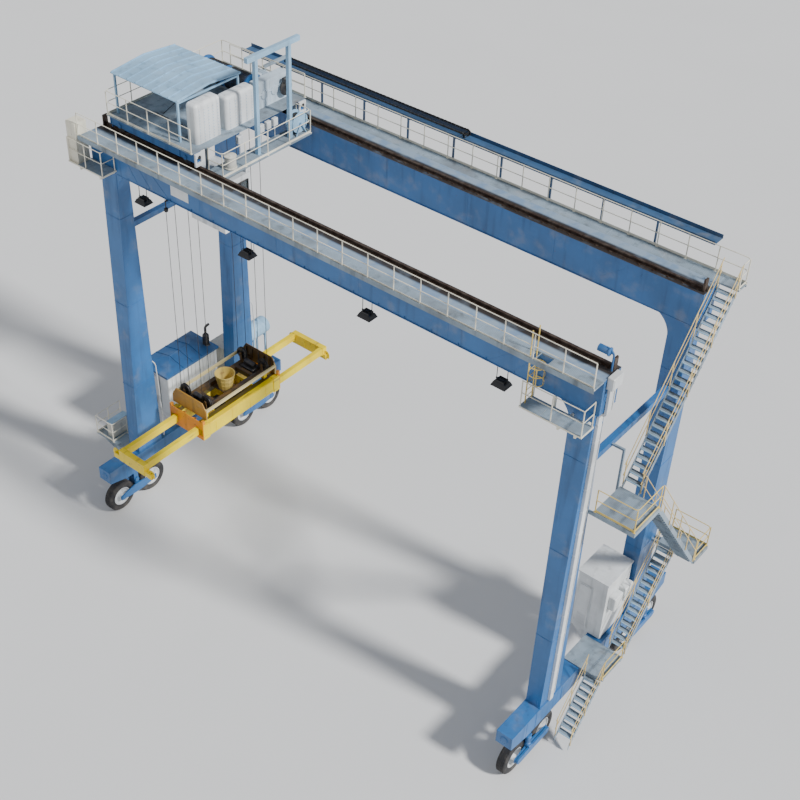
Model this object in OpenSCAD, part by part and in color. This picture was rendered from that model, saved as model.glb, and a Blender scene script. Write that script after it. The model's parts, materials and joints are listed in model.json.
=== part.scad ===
// Rubber tyred gantry crane: a portal on eight tyres, a trolley on top and a
// telescopic spreader on ropes. Millimetres. +X runs along the span, +Y along
// the travel of the gantry, +Z up. The origin is on the ground, mid-portal.

/* [Portal] */
// Distance between the leg centre lines, along the span
span = 23500; // [22000:100:26000]
// Distance between the centre lines of the two girders
girder_gauge = 6550; // [6400:50:7000]
// Width of a box girder over its webs
girder_w = 1000; // [900:10:1050]
// Depth of a box girder
girder_h = 1480; // [1300:10:1600]
// Height of the girders' top face above the ground
girder_top = 19750; // [19400:50:21000]
// Reach of a girder past the leg centre line
girder_overhang = 700; // [620:10:700]
// Edge of a girder flange past its web
flange_lip = 35; // [20:5:45]
// Thickness of a girder flange
flange_t = 30; // [20:2:40]
// Width of a leg along the span, at its top
leg_top_x = 950; // [850:10:1000]
// Width of a leg along the span, at its foot
leg_foot_x = 680; // [600:10:740]
// Width of a leg along the travel, at its top
leg_top_y = 640; // [560:10:760]
// Width of a leg along the travel, at its foot
leg_foot_y = 1450; // [1200:10:1600]
// Radius of the curved haunch between a leg and its girder
haunch_r = 1050; // [800:10:1200]
// Height of the tie beams between the legs of one side
tie_z = 15100; // [14500:50:15500]
// Side of the square tie beams
tie_size = 260; // [200:10:320]

/* [Sills and wheels] */
// Width of a sill beam
sill_w = 760; // [740:10:820]
// Depth of a sill beam
sill_h = 950; // [850:10:1000]
// Height of the sill beams' top face
sill_top = 2850; // [2800:10:3000]
// Length of a sill beam
sill_len = 11900; // [11700:50:12300]
// Diameter of a tyre
tyre_d = 1600; // [1500:10:1650]
// How far a loaded tyre is pressed flat on the ground
tyre_squash = 20; // [10:1:24]
// Width of a tyre
tyre_w = 450; // [400:10:480]
// Diameter of a wheel rim
rim_d = 960; // [900:10:1020]
// Distance between the two wheels of a bogie
wheel_pitch = 1950; // [1900:10:2000]
// Distance of a bogie pin from the end of its sill beam
bogie_inset = 1700; // [1650:10:1750]
// Diameter of a bogie pin
bogie_pin_d = 150; // [120:5:170]

/* [Walkways and stairs] */
// Distance of the walkways' outer edge from the middle of the portal
walk_edge = 4420; // [4300:10:4500]
// Thickness of walkway and landing plates
floor_t = 60; // [40:5:80]
// Height of the handrails
handrail_h = 1080; // [1000:10:1150]
// Diameter of handrail posts
post_d = 48; // [40:2:60]
// Diameter of handrail bars
bar_d = 36; // [28:2:38]
// Distance between handrail posts
post_pitch = 1200; // [1000:50:1500]
// Width of a stair flight
stair_w = 700; // [650:10:760]
// Gap between two flights side by side
flight_gap = 200; // [150:10:260]
// Height of the upper landing
upper_landing_z = 13300; // [13000:50:13500]
// Height of the lower landing
lower_landing_z = 6900; // [6700:50:7200]

/* [Trolley] */
// Place of the trolley's middle along the span, at rest
trolley_x = -9360; // [-9400:10:-9200]
// Distance between the two trolley rails
rail_gauge = 6000; // [5900:10:6040]
// Height of a trolley rail
rail_h = 150; // [120:5:170]
// Width of a trolley rail
rail_w = 90; // [70:5:110]
// Diameter of a trolley wheel
trolley_wheel_d = 500; // [460:10:540]
// Distance between the trolley's wheels along the rail
trolley_base = 3800; // [3600:10:3900]
// Length of the trolley deck along the span
deck_len = 4900; // [4860:10:5000]
// Diameter of the hoist drum
drum_d = 900; // [700:10:1000]
// Length of the hoist drum's rope barrel
drum_len = 2600; // [2300:10:2800]

/* [Spreader] */
// Height of the spreader's twistlock housings above the ground, at rest
spreader_z = 4520; // [4400:10:4700]
// Width of the spreader's main frame
frame_w = 2140; // [2100:10:2160]
// Length of the spreader's main frame
frame_len = 5200; // [5000:20:5260]
// Depth of a main frame tube
tube_h = 750; // [700:10:800]
// Width of a main frame tube
tube_w = 250; // [240:5:260]
// Wall of a main frame tube
tube_wall = 14; // [10:1:18]
// Depth of a telescopic beam
arm_h = 380; // [340:10:400]
// Clearance round a telescopic beam inside its tube
slide_gap = 6; // [5:1:8]
// Distance between twistlocks across a container
lock_x = 2259; // [2240:1:2280]
// Distance between twistlocks along a forty foot container
lock_y = 11985; // [11900:1:12050]
// Length of the head block along a container
head_len = 4760; // [4700:10:4800]
// Width of the head block
head_w = 2250; // [2240:10:2300]
// Diameter of a hoist rope
rope_d = 26; // [20:1:32]
// Diameter of a rope sheave
sheave_d = 550; // [500:10:600]

/* [Hidden] */

paint_blue = [0.16, 0.42, 0.66];
deck_grey = [0.55, 0.62, 0.68];
rail_white = [0.93, 0.92, 0.86];
stair_yellow = [0.95, 0.85, 0.5];
spreader_yellow = [1.0, 0.86, 0.0];
rope_grey = [0.25, 0.25, 0.27];
near_side = -1;
far_side = 1;
left_side = -1;
right_side = 1;
sides = [-1, 1];

girder_bottom = girder_top - girder_h;
girder_y = girder_gauge / 2;
girder_len = span + 2 * girder_overhang;
leg_x = span / 2;
sill_bottom = sill_top - sill_h;
bogie_y = sill_len / 2 - bogie_inset;
axle_z = tyre_d / 2 - tyre_squash;
pin_z = tyre_d * 0.78;
rail_y = rail_gauge / 2;
rail_top = girder_top + rail_h;
round_sides = 8;

// Width of a leg at a height, along X or along Y
function leg_size(z, top, foot) =
    foot + (top - foot) * (z - sill_top) / (girder_bottom - sill_top);
function leg_dx(z) = leg_size(z, leg_top_x, leg_foot_x) / 2;
function leg_dy(z) = leg_size(z, leg_top_y, leg_foot_y) / 2;

module block(low, high) {
    translate(low) cube(high - low);
}

// Round bar from one point to another
module rod(from, to, d, facets = round_sides) {
    v = to - from;
    len = norm(v);
    translate(from) rotate([0, acos(v[2] / len), atan2(v[1], v[0])])
        cylinder(d = d, h = len, $fn = facets);
}

// Handrail along a straight floor edge: posts, a top bar and a knee bar
module handrail_run(from, to, pitch = post_pitch, height = handrail_h) {
    bays = max(1, round(norm(to - from) / pitch));
    for (i = [0:bays]) {
        foot = from + (to - from) * i / bays;
        rod(foot, foot + [0, 0, height], post_d);
    }
    for (level = [height - bar_d / 2, height * 0.52])
        rod(from + [0, 0, level], to + [0, 0, level], bar_d);
}

// Box girder with flange lips and closed ends
module girder(side) {
    half_w = girder_w / 2;
    translate([-girder_len / 2, side * girder_y, 0]) rotate([90, 0, 90])
        linear_extrude(height = girder_len) {
            translate([-half_w, girder_bottom]) square([girder_w, girder_h]);
            for (z = [girder_bottom, girder_top - flange_t])
                translate([-half_w - flange_lip, z]) square([girder_w + 2 * flange_lip, flange_t]);
        }
}

// Leg that narrows upward along the travel and widens along the span,
// with a curved haunch under the girder and a base plate on the sill
module leg(side_x, side_y) {
    base_plate_t = 60;
    base_plate_lip = 20;
    translate([side_x * leg_x, side_y * girder_y, 0]) {
        intersection() {
            rotate([90, 0, 0]) linear_extrude(height = leg_foot_y + leg_top_y, center = true)
                polygon([[-leg_foot_x / 2, sill_top], [leg_foot_x / 2, sill_top],
                         [leg_top_x / 2, girder_bottom], [-leg_top_x / 2, girder_bottom]]);
            rotate([90, 0, 90]) linear_extrude(height = leg_foot_x + leg_top_x, center = true)
                polygon([[-leg_foot_y / 2, sill_top], [leg_foot_y / 2, sill_top],
                         [leg_top_y / 2, girder_bottom], [-leg_top_y / 2, girder_bottom]]);
        }
        curve_x = leg_dx(girder_bottom - haunch_r) + haunch_r;
        mirror([side_x > 0 ? 1 : 0, 0, 0]) rotate([90, 0, 0])
            linear_extrude(height = leg_top_y, center = true) difference() {
                translate([0, girder_bottom - haunch_r]) square([curve_x, haunch_r]);
                translate([curve_x, girder_bottom - haunch_r]) circle(r = haunch_r, $fn = 96);
            }
        translate([-leg_foot_x / 2 - base_plate_lip, -leg_foot_y / 2 - base_plate_lip, sill_top])
            cube([leg_foot_x + 2 * base_plate_lip, leg_foot_y + 2 * base_plate_lip, base_plate_t]);
    }
}

// Square tie between the two legs of one side
module tie_beam(side) {
    reach = girder_y - leg_dy(tie_z - tie_size / 2);
    plate_t = 30;
    translate([side * leg_x, 0, tie_z]) {
        block([-tie_size / 2, -reach + plate_t, -tie_size / 2],
              [tie_size / 2, reach - plate_t, tie_size / 2]);
    }
}

// Sill beam with raised ends over the bogies, and lugs for the bogie pins
module sill_beam(side) {
    end_rise = 260;
    end_len = 1100;
    lug_t = 70;
    lug_gap = 240;
    translate([side * leg_x, 0, 0]) {
        rotate([90, 0, 90]) linear_extrude(height = sill_w, center = true)
            polygon([[-sill_len / 2, sill_top], [-sill_len / 2, sill_bottom + end_rise],
                     [-sill_len / 2 + end_len, sill_bottom], [sill_len / 2 - end_len, sill_bottom],
                     [sill_len / 2, sill_bottom + end_rise], [sill_len / 2, sill_top]]);
        for (s = sides, t = sides)
            translate([t * (lug_gap + lug_t) / 2, s * bogie_y, 0]) difference() {
                translate([-lug_t / 2, -130, pin_z - 130]) cube([lug_t, 260, sill_bottom - pin_z + 131]);
                translate([0, 0, pin_z]) rotate([0, 90, 0])
                    cylinder(d = bogie_pin_d, h = lug_t + 2, center = true, $fn = 48);
            }
    }
}

module near_girder() color(paint_blue) girder(near_side);
module far_girder() color(paint_blue) girder(far_side);
module near_left_leg() color(paint_blue) leg(left_side, near_side);
module near_right_leg() color(paint_blue) leg(right_side, near_side);
module far_left_leg() color(paint_blue) leg(left_side, far_side);
module far_right_leg() color(paint_blue) leg(right_side, far_side);
module left_tie_beam() color(paint_blue) tie_beam(left_side);
module right_tie_beam() color(paint_blue) tie_beam(right_side);
module left_sill_beam() color(paint_blue) sill_beam(left_side);
module right_sill_beam() color(paint_blue) sill_beam(right_side);

// Bogie: two side plates, a cross box between the tyres, the pin's hub and axles
module bogie(side_x, side_y) {
    axle_d = 140;
    plate_t = 60;
    plate_x = tyre_w / 2 + 45;
    hub_w = 230;
    hub_len = 240;
    pin_reach = 230;
    box_low = axle_z - 180;
    box_high = pin_z - 160;
    translate([side_x * leg_x, side_y * bogie_y, 0]) {
        for (s = sides)
            translate([s * (plate_x + plate_t / 2), 0, 0]) rotate([90, 0, 90])
                linear_extrude(height = plate_t, center = true)
                    polygon([[-wheel_pitch / 2 - 170, axle_z - 110], [-wheel_pitch / 2 - 170, axle_z + 110],
                             [-hub_len, box_high], [hub_len, box_high],
                             [wheel_pitch / 2 + 170, axle_z + 110], [wheel_pitch / 2 + 170, axle_z - 110],
                             [hub_len, box_low], [-hub_len, box_low]]);
        block([-plate_x - 1, -hub_len / 2, box_low], [plate_x + 1, hub_len / 2, box_high]);
        block([-hub_w / 2, -hub_len / 2, box_high - 1], [hub_w / 2, hub_len / 2, pin_z + 120]);
        translate([0, 0, pin_z]) rotate([0, 90, 0])
            cylinder(d = bogie_pin_d - 0.1, h = 2 * pin_reach, center = true, $fn = 48);
        for (s = sides) translate([0, s * wheel_pitch / 2, axle_z]) rotate([0, 90, 0]) {
            cylinder(d = axle_d, h = 2 * (plate_x + plate_t), center = true, $fn = 48);
            for (t = sides) translate([0, 0, t * (plate_x + plate_t + 12)])
                cylinder(d = 240, h = 26, center = true, $fn = 48);
        }
    }
}

module each_bogie() {
    for (sx = sides, sy = sides) translate([sx * leg_x, sy * bogie_y, 0]) children();
}

module each_wheel() {
    each_bogie() for (s = sides)
        translate([0, s * wheel_pitch / 2, axle_z]) rotate([0, 90, 0]) children();
}

module bogie_frames() color(paint_blue) for (sx = sides, sy = sides) bogie(sx, sy);

// Tyre section: round shoulders, beads on the rim and four tread grooves
module tyre() rotate_extrude($fn = 96) difference() {
    tread_w = tyre_w - 110;
    union() {
        translate([rim_d / 2, -tyre_w / 2 + 40]) square([60, tyre_w - 80]);
        translate([rim_d / 2 + 60, -tyre_w / 2]) square([tyre_d / 2 - rim_d / 2 - 130, tyre_w]);
        translate([tyre_d / 2 - 71, -tread_w / 2]) square([71, tread_w]);
        for (s = sides) translate([tyre_d / 2 - 70, s * (tyre_w / 2 - 62)]) circle(r = 62, $fn = 32);
    }
    for (i = [-1.5:1:1.5]) translate([tyre_d / 2 - 26, i * 84 - 9]) square([30, 18]);
}
module tyres() color([0.09, 0.09, 0.1]) difference() {
    each_wheel() tyre();
    block([-leg_x - tyre_w, -bogie_y - wheel_pitch, -tyre_squash - 10],
          [leg_x + tyre_w, bogie_y + wheel_pitch, 0]);
}

// Wheel rim: barrel, flanges, a dished disc and the hub on the axle
module wheel_rims() color([0.85, 0.86, 0.88]) each_wheel() difference() {
    union() {
        rotate_extrude($fn = 64) {
            translate([rim_d / 2 - 30, -tyre_w / 2 + 40]) square([30, tyre_w - 80]);
            translate([100, -22]) square([rim_d / 2 - 110, 44]);
        }
        cylinder(d = 260, h = 2 * (tyre_w / 2 + 40), center = true, $fn = 64);
    }
    cylinder(d = 140.1, h = tyre_w + 200, center = true, $fn = 48);
}

// Rails on the inner edges of the girders
module trolley_rails() color([0.36, 0.27, 0.22]) for (s = sides)
    translate([-girder_len / 2 + 200, s * rail_y, girder_top]) rotate([90, 0, 90])
        linear_extrude(height = girder_len - 400)
            polygon([[-rail_w, 0], [rail_w, 0], [rail_w, 14], [14, 34], [14, rail_h - 50],
                     [rail_w / 2, rail_h - 40], [rail_w / 2, rail_h], [-rail_w / 2, rail_h],
                     [-rail_w / 2, rail_h - 40], [-14, rail_h - 50], [-14, 34], [-rail_w, 14]]);

// Walkway beside a girder: a plate with an edge angle, on brackets.
// The far one reaches on over the head of the stair.
stair_head_reach = 50 + stair_w + 60;
module walkway(side, reach = 0) {
    web = girder_y + girder_w / 2 + flange_lip;
    bracket_pitch = 2400;
    count = floor(girder_len / 2 / bracket_pitch);
    edge_h = 150;
    mirror([0, side > 0 ? 0 : 1, 0]) {
        block([-girder_len / 2, web, girder_top - floor_t], [girder_len / 2 + reach, walk_edge, girder_top]);
        block([-girder_len / 2, walk_edge - 12, girder_top - edge_h],
              [girder_len / 2 + reach, walk_edge, girder_top + 60]);
        for (i = [-count:count]) translate([i * bracket_pitch - 6, 0, 0]) rotate([90, 0, 90])
            linear_extrude(height = 12)
                polygon([[web, girder_top - floor_t], [walk_edge - 12, girder_top - floor_t],
                         [walk_edge - 12, girder_top - edge_h], [web - flange_lip, girder_top - 620],
                         [web - flange_lip, girder_top - floor_t - 1], [web, girder_top - floor_t - 1]]);
    }
}
platform_x = [[girder_len / 2 - 2630, girder_len / 2 - 100], [-girder_len / 2 - 600, -girder_len / 2 + 1500]];
platform_z = [girder_bottom - 470, girder_bottom + 230];
hatch_x = [platform_x[0][0] + 40, platform_x[0][0] + 740];
hatch_y = [-walk_edge + 50, -girder_y - girder_w / 2 - flange_lip - 40];
module near_walkway() color(deck_grey) difference() {
    walkway(near_side);
    block([hatch_x[0], hatch_y[0], girder_top - floor_t - 1], [hatch_x[1], hatch_y[1], girder_top + 1]);
}
module far_walkway() color(deck_grey) walkway(far_side, stair_head_reach);

rail_line = walk_edge - 40;
module near_handrail() color(rail_white)
    handrail_run([-girder_len / 2 + 40, -rail_line, girder_top], [girder_len / 2 - 40, -rail_line, girder_top]);
module far_handrail() color(rail_white) {
    end_x = girder_len / 2 + stair_head_reach - 40;
    handrail_run([-girder_len / 2 + 40, rail_line, girder_top], [end_x, rail_line, girder_top]);
    handrail_run([end_x, rail_line, girder_top], [end_x, upper_top[0] + 40, girder_top]);
}

// Tray that carries the trolley's energy chain, on posts outside the far walkway
tray_low = girder_top + 950;
tray_in = walk_edge + 25;
tray_w = 620;
module cable_tray() color([0.30, 0.38, 0.48]) {
    tray_h = 160;
    sheet = 12;
    post = 70;
    post_gap = 2350;
    count = 4;
    x0 = -girder_len / 2 + 700;
    x1 = girder_len / 2 - 700;
    block([x0, tray_in, tray_low], [x1, tray_in + tray_w, tray_low + sheet]);
    for (y = [tray_in, tray_in + tray_w - sheet])
        block([x0, y, tray_low], [x1, y + sheet, tray_low + tray_h]);
    for (i = [-count:count]) {
        block([i * post_gap - post / 2, tray_in, girder_top - 250],
              [i * post_gap + post / 2, tray_in + post, tray_low + 1]);
        block([i * post_gap - post / 2, tray_in, tray_low - post],
              [i * post_gap + post / 2, tray_in + tray_w, tray_low + 1]);
        block([i * post_gap - post / 2, walk_edge, girder_top - 250],
              [i * post_gap + post / 2, tray_in + 1, girder_top - 140]);
    }
}

// Energy chain: links along a lower run, a half turn and an upper run
module energy_chain() color([0.07, 0.07, 0.08]) {
    chain_w = 420;
    link_h = 90;
    link_len = 200;
    link_gap = 16;
    spine_inset = 14;
    bend_r = 150;
    fixed_x = 0;
    turn_x = 300;
    upper_z = 2 * bend_r - link_h;
    links = floor((turn_x - trolley_x) / link_len);
    translate([0, tray_in + (tray_w + chain_w) / 2, tray_low + 12]) rotate([90, 0, 0])
        linear_extrude(height = chain_w) {
            translate([fixed_x, 0]) square([turn_x - fixed_x, link_h]);
            translate([turn_x - links * link_len, upper_z + spine_inset])
                square([links * link_len, link_h - 2 * spine_inset]);
            for (i = [1:links]) translate([turn_x - i * link_len + link_gap, upper_z])
                square([link_len - link_gap, link_h]);
            translate([turn_x, bend_r]) intersection() {
                difference() {
                    circle(r = bend_r, $fn = 64);
                    circle(r = bend_r - link_h, $fn = 64);
                }
                translate([-1, -bend_r]) square([bend_r + 1, 2 * bend_r]);
            }
        }
}

// Stair flight in the plane beside the right legs: stringers and treads.
// It climbs from [y_low, z_low] to [y_high, z_high], with its inner edge at x_in.
stair_inner_x = girder_len / 2 + 50;
stair_outer_x = stair_inner_x + stair_w + flight_gap;
stringer_t = 12;
tread_len = 240;
module flight(x_in, foot, head, rise = 250) {
    stringer_h = 260;
    tread_t = 35;
    lip = 40;
    run_up = head[0] > foot[0] ? 1 : -1;
    steps = round((head[1] - foot[1]) / rise);
    step = (head - foot) / steps;
    for (x = [x_in, x_in + stair_w - stringer_t]) translate([x, 0, 0])
        rotate([90, 0, 90]) linear_extrude(height = stringer_t)
            polygon([[foot[0], foot[1] - stringer_h], [foot[0], foot[1] + lip], [head[0] - run_up * lip, head[1]],
                     [head[0], head[1]], [head[0], head[1] - stringer_h]]);
    for (i = [1:steps - 1]) {
        nose = foot + step * i;
        back = nose[0] + run_up * tread_len;
        block([x_in + 1, min(nose[0], back), nose[1] - tread_t],
              [x_in + stair_w - 1, max(nose[0], back), nose[1]]);
    }
}

// Handrails on both sides of a flight
module flight_rails(x_in, foot, head) {
    bays = max(2, round((head[1] - foot[1]) / 1700));
    for (x = [x_in - post_d / 2, x_in + stair_w + post_d / 2]) {
        for (i = [0:bays]) {
            at = foot + (head - foot) * (i + 0.1) / (bays + 0.2);
            rod([x, at[0], at[1] - 120], [x, at[0], at[1] + handrail_h], post_d);
        }
        for (h = [handrail_h * 0.5, handrail_h - 20])
            rod([x, foot[0], foot[1] + h], [x, head[0], head[1] + h], bar_d);
    }
}

// Ends of the flights, as [y, z]
upper_top = [girder_y + girder_w / 2 + flange_lip, girder_top];
upper_landing_y = [-2950, -1150];
lower_landing_y = [3500, 4650];
sill_landing_y = [-1200, 450];
sill_landing_z = sill_top + floor_t;
upper_foot = [upper_landing_y[1], upper_landing_z];
middle_foot = [lower_landing_y[0], lower_landing_z];
lower_foot = [sill_landing_y[1], sill_landing_z];
ground_foot = [sill_landing_y[0] - 1900, 420];
ground_top = [sill_landing_y[0], sill_landing_z];
landing_x = [stair_inner_x - 60, stair_outer_x + stair_w + 60];
sill_landing_edge = stair_inner_x + stair_w + 60;

module upper_flight() color(deck_grey) flight(stair_inner_x, upper_foot, upper_top);
module middle_flight() color(deck_grey) flight(stair_outer_x, middle_foot, upper_foot);
module lower_flight() color(deck_grey) flight(stair_inner_x, lower_foot, middle_foot);
module ground_flight() color(deck_grey) flight(stair_inner_x, ground_foot, ground_top);
module stair_handrails() color(rail_white) {
    flight_rails(stair_inner_x, upper_foot, upper_top);
    flight_rails(stair_outer_x, middle_foot, upper_foot);
    flight_rails(stair_inner_x, lower_foot, middle_foot);
    flight_rails(stair_inner_x, ground_foot, ground_top);
}

// Landings on cantilever beams; the upper one also hangs from the tie beam,
// and the lowest one lies on the sill
module stair_landings() color(deck_grey) {
    beam = 140;
    beam_w = 90;
    hanger = 80;
    upper_low = upper_landing_z - floor_t;
    lower_low = lower_landing_z - floor_t;
    hang_y = upper_landing_y[1] - 150;
    hang_x = landing_x[0] - hanger - 10;
    block([landing_x[0], upper_landing_y[0], upper_low], [landing_x[1], upper_landing_y[1], upper_landing_z]);
    block([leg_x + leg_dx(upper_low) + 1, upper_landing_y[0], upper_low - beam],
          [landing_x[1], upper_landing_y[0] + beam_w, upper_low]);
    block([hang_x, hang_y, upper_low - beam], [landing_x[1], hang_y + beam_w, upper_low]);
    block([hang_x, hang_y, upper_low - beam], [hang_x + hanger, hang_y + beam_w, tie_z + hanger / 2]);
    block([leg_x + tie_size / 2, hang_y, tie_z - hanger / 2],
          [hang_x + 1, hang_y + beam_w, tie_z + hanger / 2]);
    block([landing_x[1] - beam_w, upper_landing_y[0], upper_low - beam],
          [landing_x[1], upper_landing_y[1], upper_low]);

    block([landing_x[0], lower_landing_y[0], lower_low], [landing_x[1], lower_landing_y[1], lower_landing_z]);
    for (y = [lower_landing_y[0] + 20, lower_landing_y[0] + 260])
        block([leg_x + leg_dx(lower_low) + 1, y, lower_low - beam], [landing_x[1], y + beam_w, lower_low]);
    block([landing_x[1] - beam_w, lower_landing_y[0], lower_low - beam],
          [landing_x[1], lower_landing_y[1], lower_low]);

    block([leg_x - sill_w / 2, sill_landing_y[0], sill_top],
          [sill_landing_edge, sill_landing_y[1], sill_landing_z]);
    for (y = [sill_landing_y[0] + 100, sill_landing_y[1] - 100 - beam_w])
        translate([0, y + beam_w, 0]) rotate([90, 0, 0]) linear_extrude(height = beam_w)
            polygon([[leg_x + sill_w / 2, sill_top], [sill_landing_edge, sill_top],
                     [sill_landing_edge, sill_top - 80], [leg_x + sill_w / 2, sill_top - 600]]);
}

module landing_handrails() color(rail_white) {
    inset = 40;
    gap = 60;
    x0 = landing_x[0] + inset;
    x1 = landing_x[1] - inset;
    xs = sill_landing_edge - inset;
    handrail_run([x0, upper_landing_y[0] + inset, upper_landing_z], [x1, upper_landing_y[0] + inset, upper_landing_z]);
    handrail_run([x1, upper_landing_y[0] + inset, upper_landing_z], [x1, upper_landing_y[1] - gap, upper_landing_z]);
    handrail_run([x0, lower_landing_y[1] - inset, lower_landing_z], [x1, lower_landing_y[1] - inset, lower_landing_z]);
    handrail_run([x1, lower_landing_y[0] + gap, lower_landing_z], [x1, lower_landing_y[1] - inset, lower_landing_z]);
    handrail_run([xs, sill_landing_y[0] + gap, sill_landing_z], [xs, sill_landing_y[1] - gap, sill_landing_z]);
}

// Power house on the left sill beam: ribbed walls on a frame, under a hipped lid
eave = 60;
house_x = [eave - landing_x[1], -leg_x - leg_foot_x / 2 - 140];
house_y = [-1150, 2250];
house_z = [sill_top + 150, sill_top + 2430];
module power_house() color([0.88, 0.88, 0.86]) {
    rib_pitch = 260;
    rib = 30;
    skid = 150;
    ribs_y = floor((house_y[1] - house_y[0]) / rib_pitch);
    block([house_x[0] + rib, house_y[0] + rib, house_z[0]], [house_x[1] - rib, house_y[1] - rib, house_z[1]]);
    for (i = [0:ribs_y - 1]) {
        y = house_y[0] + (house_y[1] - house_y[0]) * (i + 0.2) / ribs_y;
        block([house_x[0], y, house_z[0] + 80], [house_x[1], y + rib_pitch * 0.6, house_z[1] - 60]);
    }
    for (y = [house_y[0] + 300, house_y[1] - 450])
        block([house_x[0], y, house_z[0] - skid], [-leg_x + sill_w / 2, y + skid, house_z[0] + 1]);
    for (y = [house_y[0] + 300, house_y[1] - 450])
        translate([0, y + skid, 0]) rotate([90, 0, 0]) linear_extrude(height = skid)
            polygon([[-leg_x - sill_w / 2, sill_top + 1], [-leg_x - sill_w / 2, sill_bottom + 100],
                     [house_x[0] + 300, sill_top - 100], [house_x[0], sill_top + 1]]);
}
module power_house_roof() color([0.13, 0.35, 0.62]) {
    ridge = 260;
    lid_h = 120;
    block([house_x[0] - eave, house_y[0] - eave, house_z[1]],
          [house_x[1] + eave, house_y[1] + eave, house_z[1] + lid_h]);
    mid_x = (house_x[0] + house_x[1]) / 2;
    translate([0, house_y[1] + eave, house_z[1] + lid_h - 1]) rotate([90, 0, 0])
        linear_extrude(height = house_y[1] - house_y[0] + 2 * eave)
            polygon([[house_x[0] - eave, 0], [mid_x, ridge], [house_x[1] + eave, 0]]);
}

// Tank with domed ends on a stand over the far end of the left sill
module fuel_tank() color([0.55, 0.72, 0.85]) {
    tank_d = 900;
    tank_len = 1300;
    dome = 140;
    tank_x = -leg_x - 700;
    tank_y = sill_len / 2 - 750;
    tank_z = sill_top + 1900;
    post = 80;
    top_end = [for (a = [0:15:90]) [tank_d / 2 * sin(a), tank_len / 2 + dome * cos(a)]];
    low_end = [for (a = [90:-15:0]) [tank_d / 2 * sin(a), -tank_len / 2 - dome * cos(a)]];
    translate([tank_x, tank_y, tank_z]) rotate([90, 0, 0])
        rotate_extrude($fn = 64) polygon(concat(top_end, low_end));
    for (s = sides) translate([0, tank_y + s * 420, 0]) {
        block([tank_x - 350, -post / 2, sill_top], [-leg_x + 200, post / 2, sill_top + 100]);
        for (x = [tank_x - 350, tank_x + 350 - post])
            block([x, -post / 2, sill_top], [x + post, post / 2, tank_z - 200]);
        block([tank_x - 350, -post / 2, tank_z - 480], [tank_x + 350, post / 2, tank_z - 380]);
    }
}

// Tall cabinet on a bracket beside the far left leg, low cabinet with a
// sloping lid on the railed platform beside the near left leg
outer_x = -leg_x - 2350;
sill_face = -leg_x - sill_w / 2;
platform_y = [-girder_y - 1075, -girder_y + 525];
module sill_cabinets() color([0.86, 0.85, 0.80]) {
    y0 = girder_y - 675;
    y1 = girder_y + 225;
    block([sill_face - 970, y0, sill_top + 1], [sill_face - 20, y1, sill_top + 2200]);
    block([sill_face - 970, y0 - 100, sill_top - 80], [sill_face, y1 + 100, sill_top + 2]);
    for (y = [y0, y1 - 100]) translate([0, y + 100, 0]) rotate([90, 0, 0]) linear_extrude(height = 100)
        polygon([[sill_face, sill_top - 79], [sill_face - 970, sill_top - 79], [sill_face, sill_bottom + 150]]);
    translate([0, platform_y[1] - 340, 0]) rotate([90, 0, 0])
        linear_extrude(height = platform_y[1] - platform_y[0] - 570)
            polygon([[outer_x + 600, sill_landing_z], [outer_x + 1000, sill_landing_z],
                     [outer_x + 1000, sill_landing_z + 930], [outer_x + 600, sill_landing_z + 840]]);
}
module sill_platform() color(deck_grey) {
    block([outer_x, platform_y[0], sill_top], [sill_face, platform_y[1], sill_landing_z]);
    for (y = [platform_y[0] + 150, platform_y[1] - 250])
        translate([0, y + 100, 0]) rotate([90, 0, 0]) linear_extrude(height = 100)
            polygon([[sill_face, sill_top + 1], [outer_x, sill_top + 1], [outer_x, sill_top - 90],
                     [sill_face, sill_bottom + 200]]);
}
module sill_handrails() color(rail_white) {
    inset = 40;
    x0 = outer_x + inset;
    x1 = outer_x + 1200;
    y0 = platform_y[0] + inset;
    handrail_run([x0, y0, sill_landing_z], [x0, platform_y[1] - inset, sill_landing_z], 800);
    handrail_run([x0, y0, sill_landing_z], [x1, y0, sill_landing_z], 600);
    handrail_run([x1, y0, sill_landing_z], [x1, y0 + 910, sill_landing_z], 900);
}

// Boxed risers on the far faces of the two left legs, with slanted tops
module leg_boxes() color(paint_blue) for (s = sides) translate([-leg_x + 150, s * girder_y, 0])
    rotate([90, 0, -90]) linear_extrude(height = 300) {
        low = sill_top + 100;
        high = sill_top + 4350;
        tip = sill_top + 4750;
        polygon([[-leg_dy(low) - 1, low], [-leg_dy(low) - 200, low], [-leg_dy(high) - 200, high],
                 [-leg_dy(tip) - 1, tip]]);
    }
module electrical_house() color([0.9, 0.91, 0.9]) {
    low = [leg_x - 1200, 600, sill_top + 80];
    high = [leg_x + 200, 2450, sill_top + 3300];
    block([low[0], low[1], low[2]], high);
    block([low[0] - 50, low[1] - 50, high[2]], [high[0] + 50, high[1] + 50, high[2] + 70]);
    for (y = [low[1] + 100, high[1] - 220]) {
        block([low[0], y, sill_top], [high[0], y + 120, low[2] + 1]);
        translate([0, y + 120, 0]) rotate([90, 0, 0]) linear_extrude(height = 120)
            polygon([[leg_x - sill_w / 2, sill_top + 1], [low[0], sill_top + 1],
                     [leg_x - sill_w / 2, sill_bottom + 100]]);
    }
}

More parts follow.
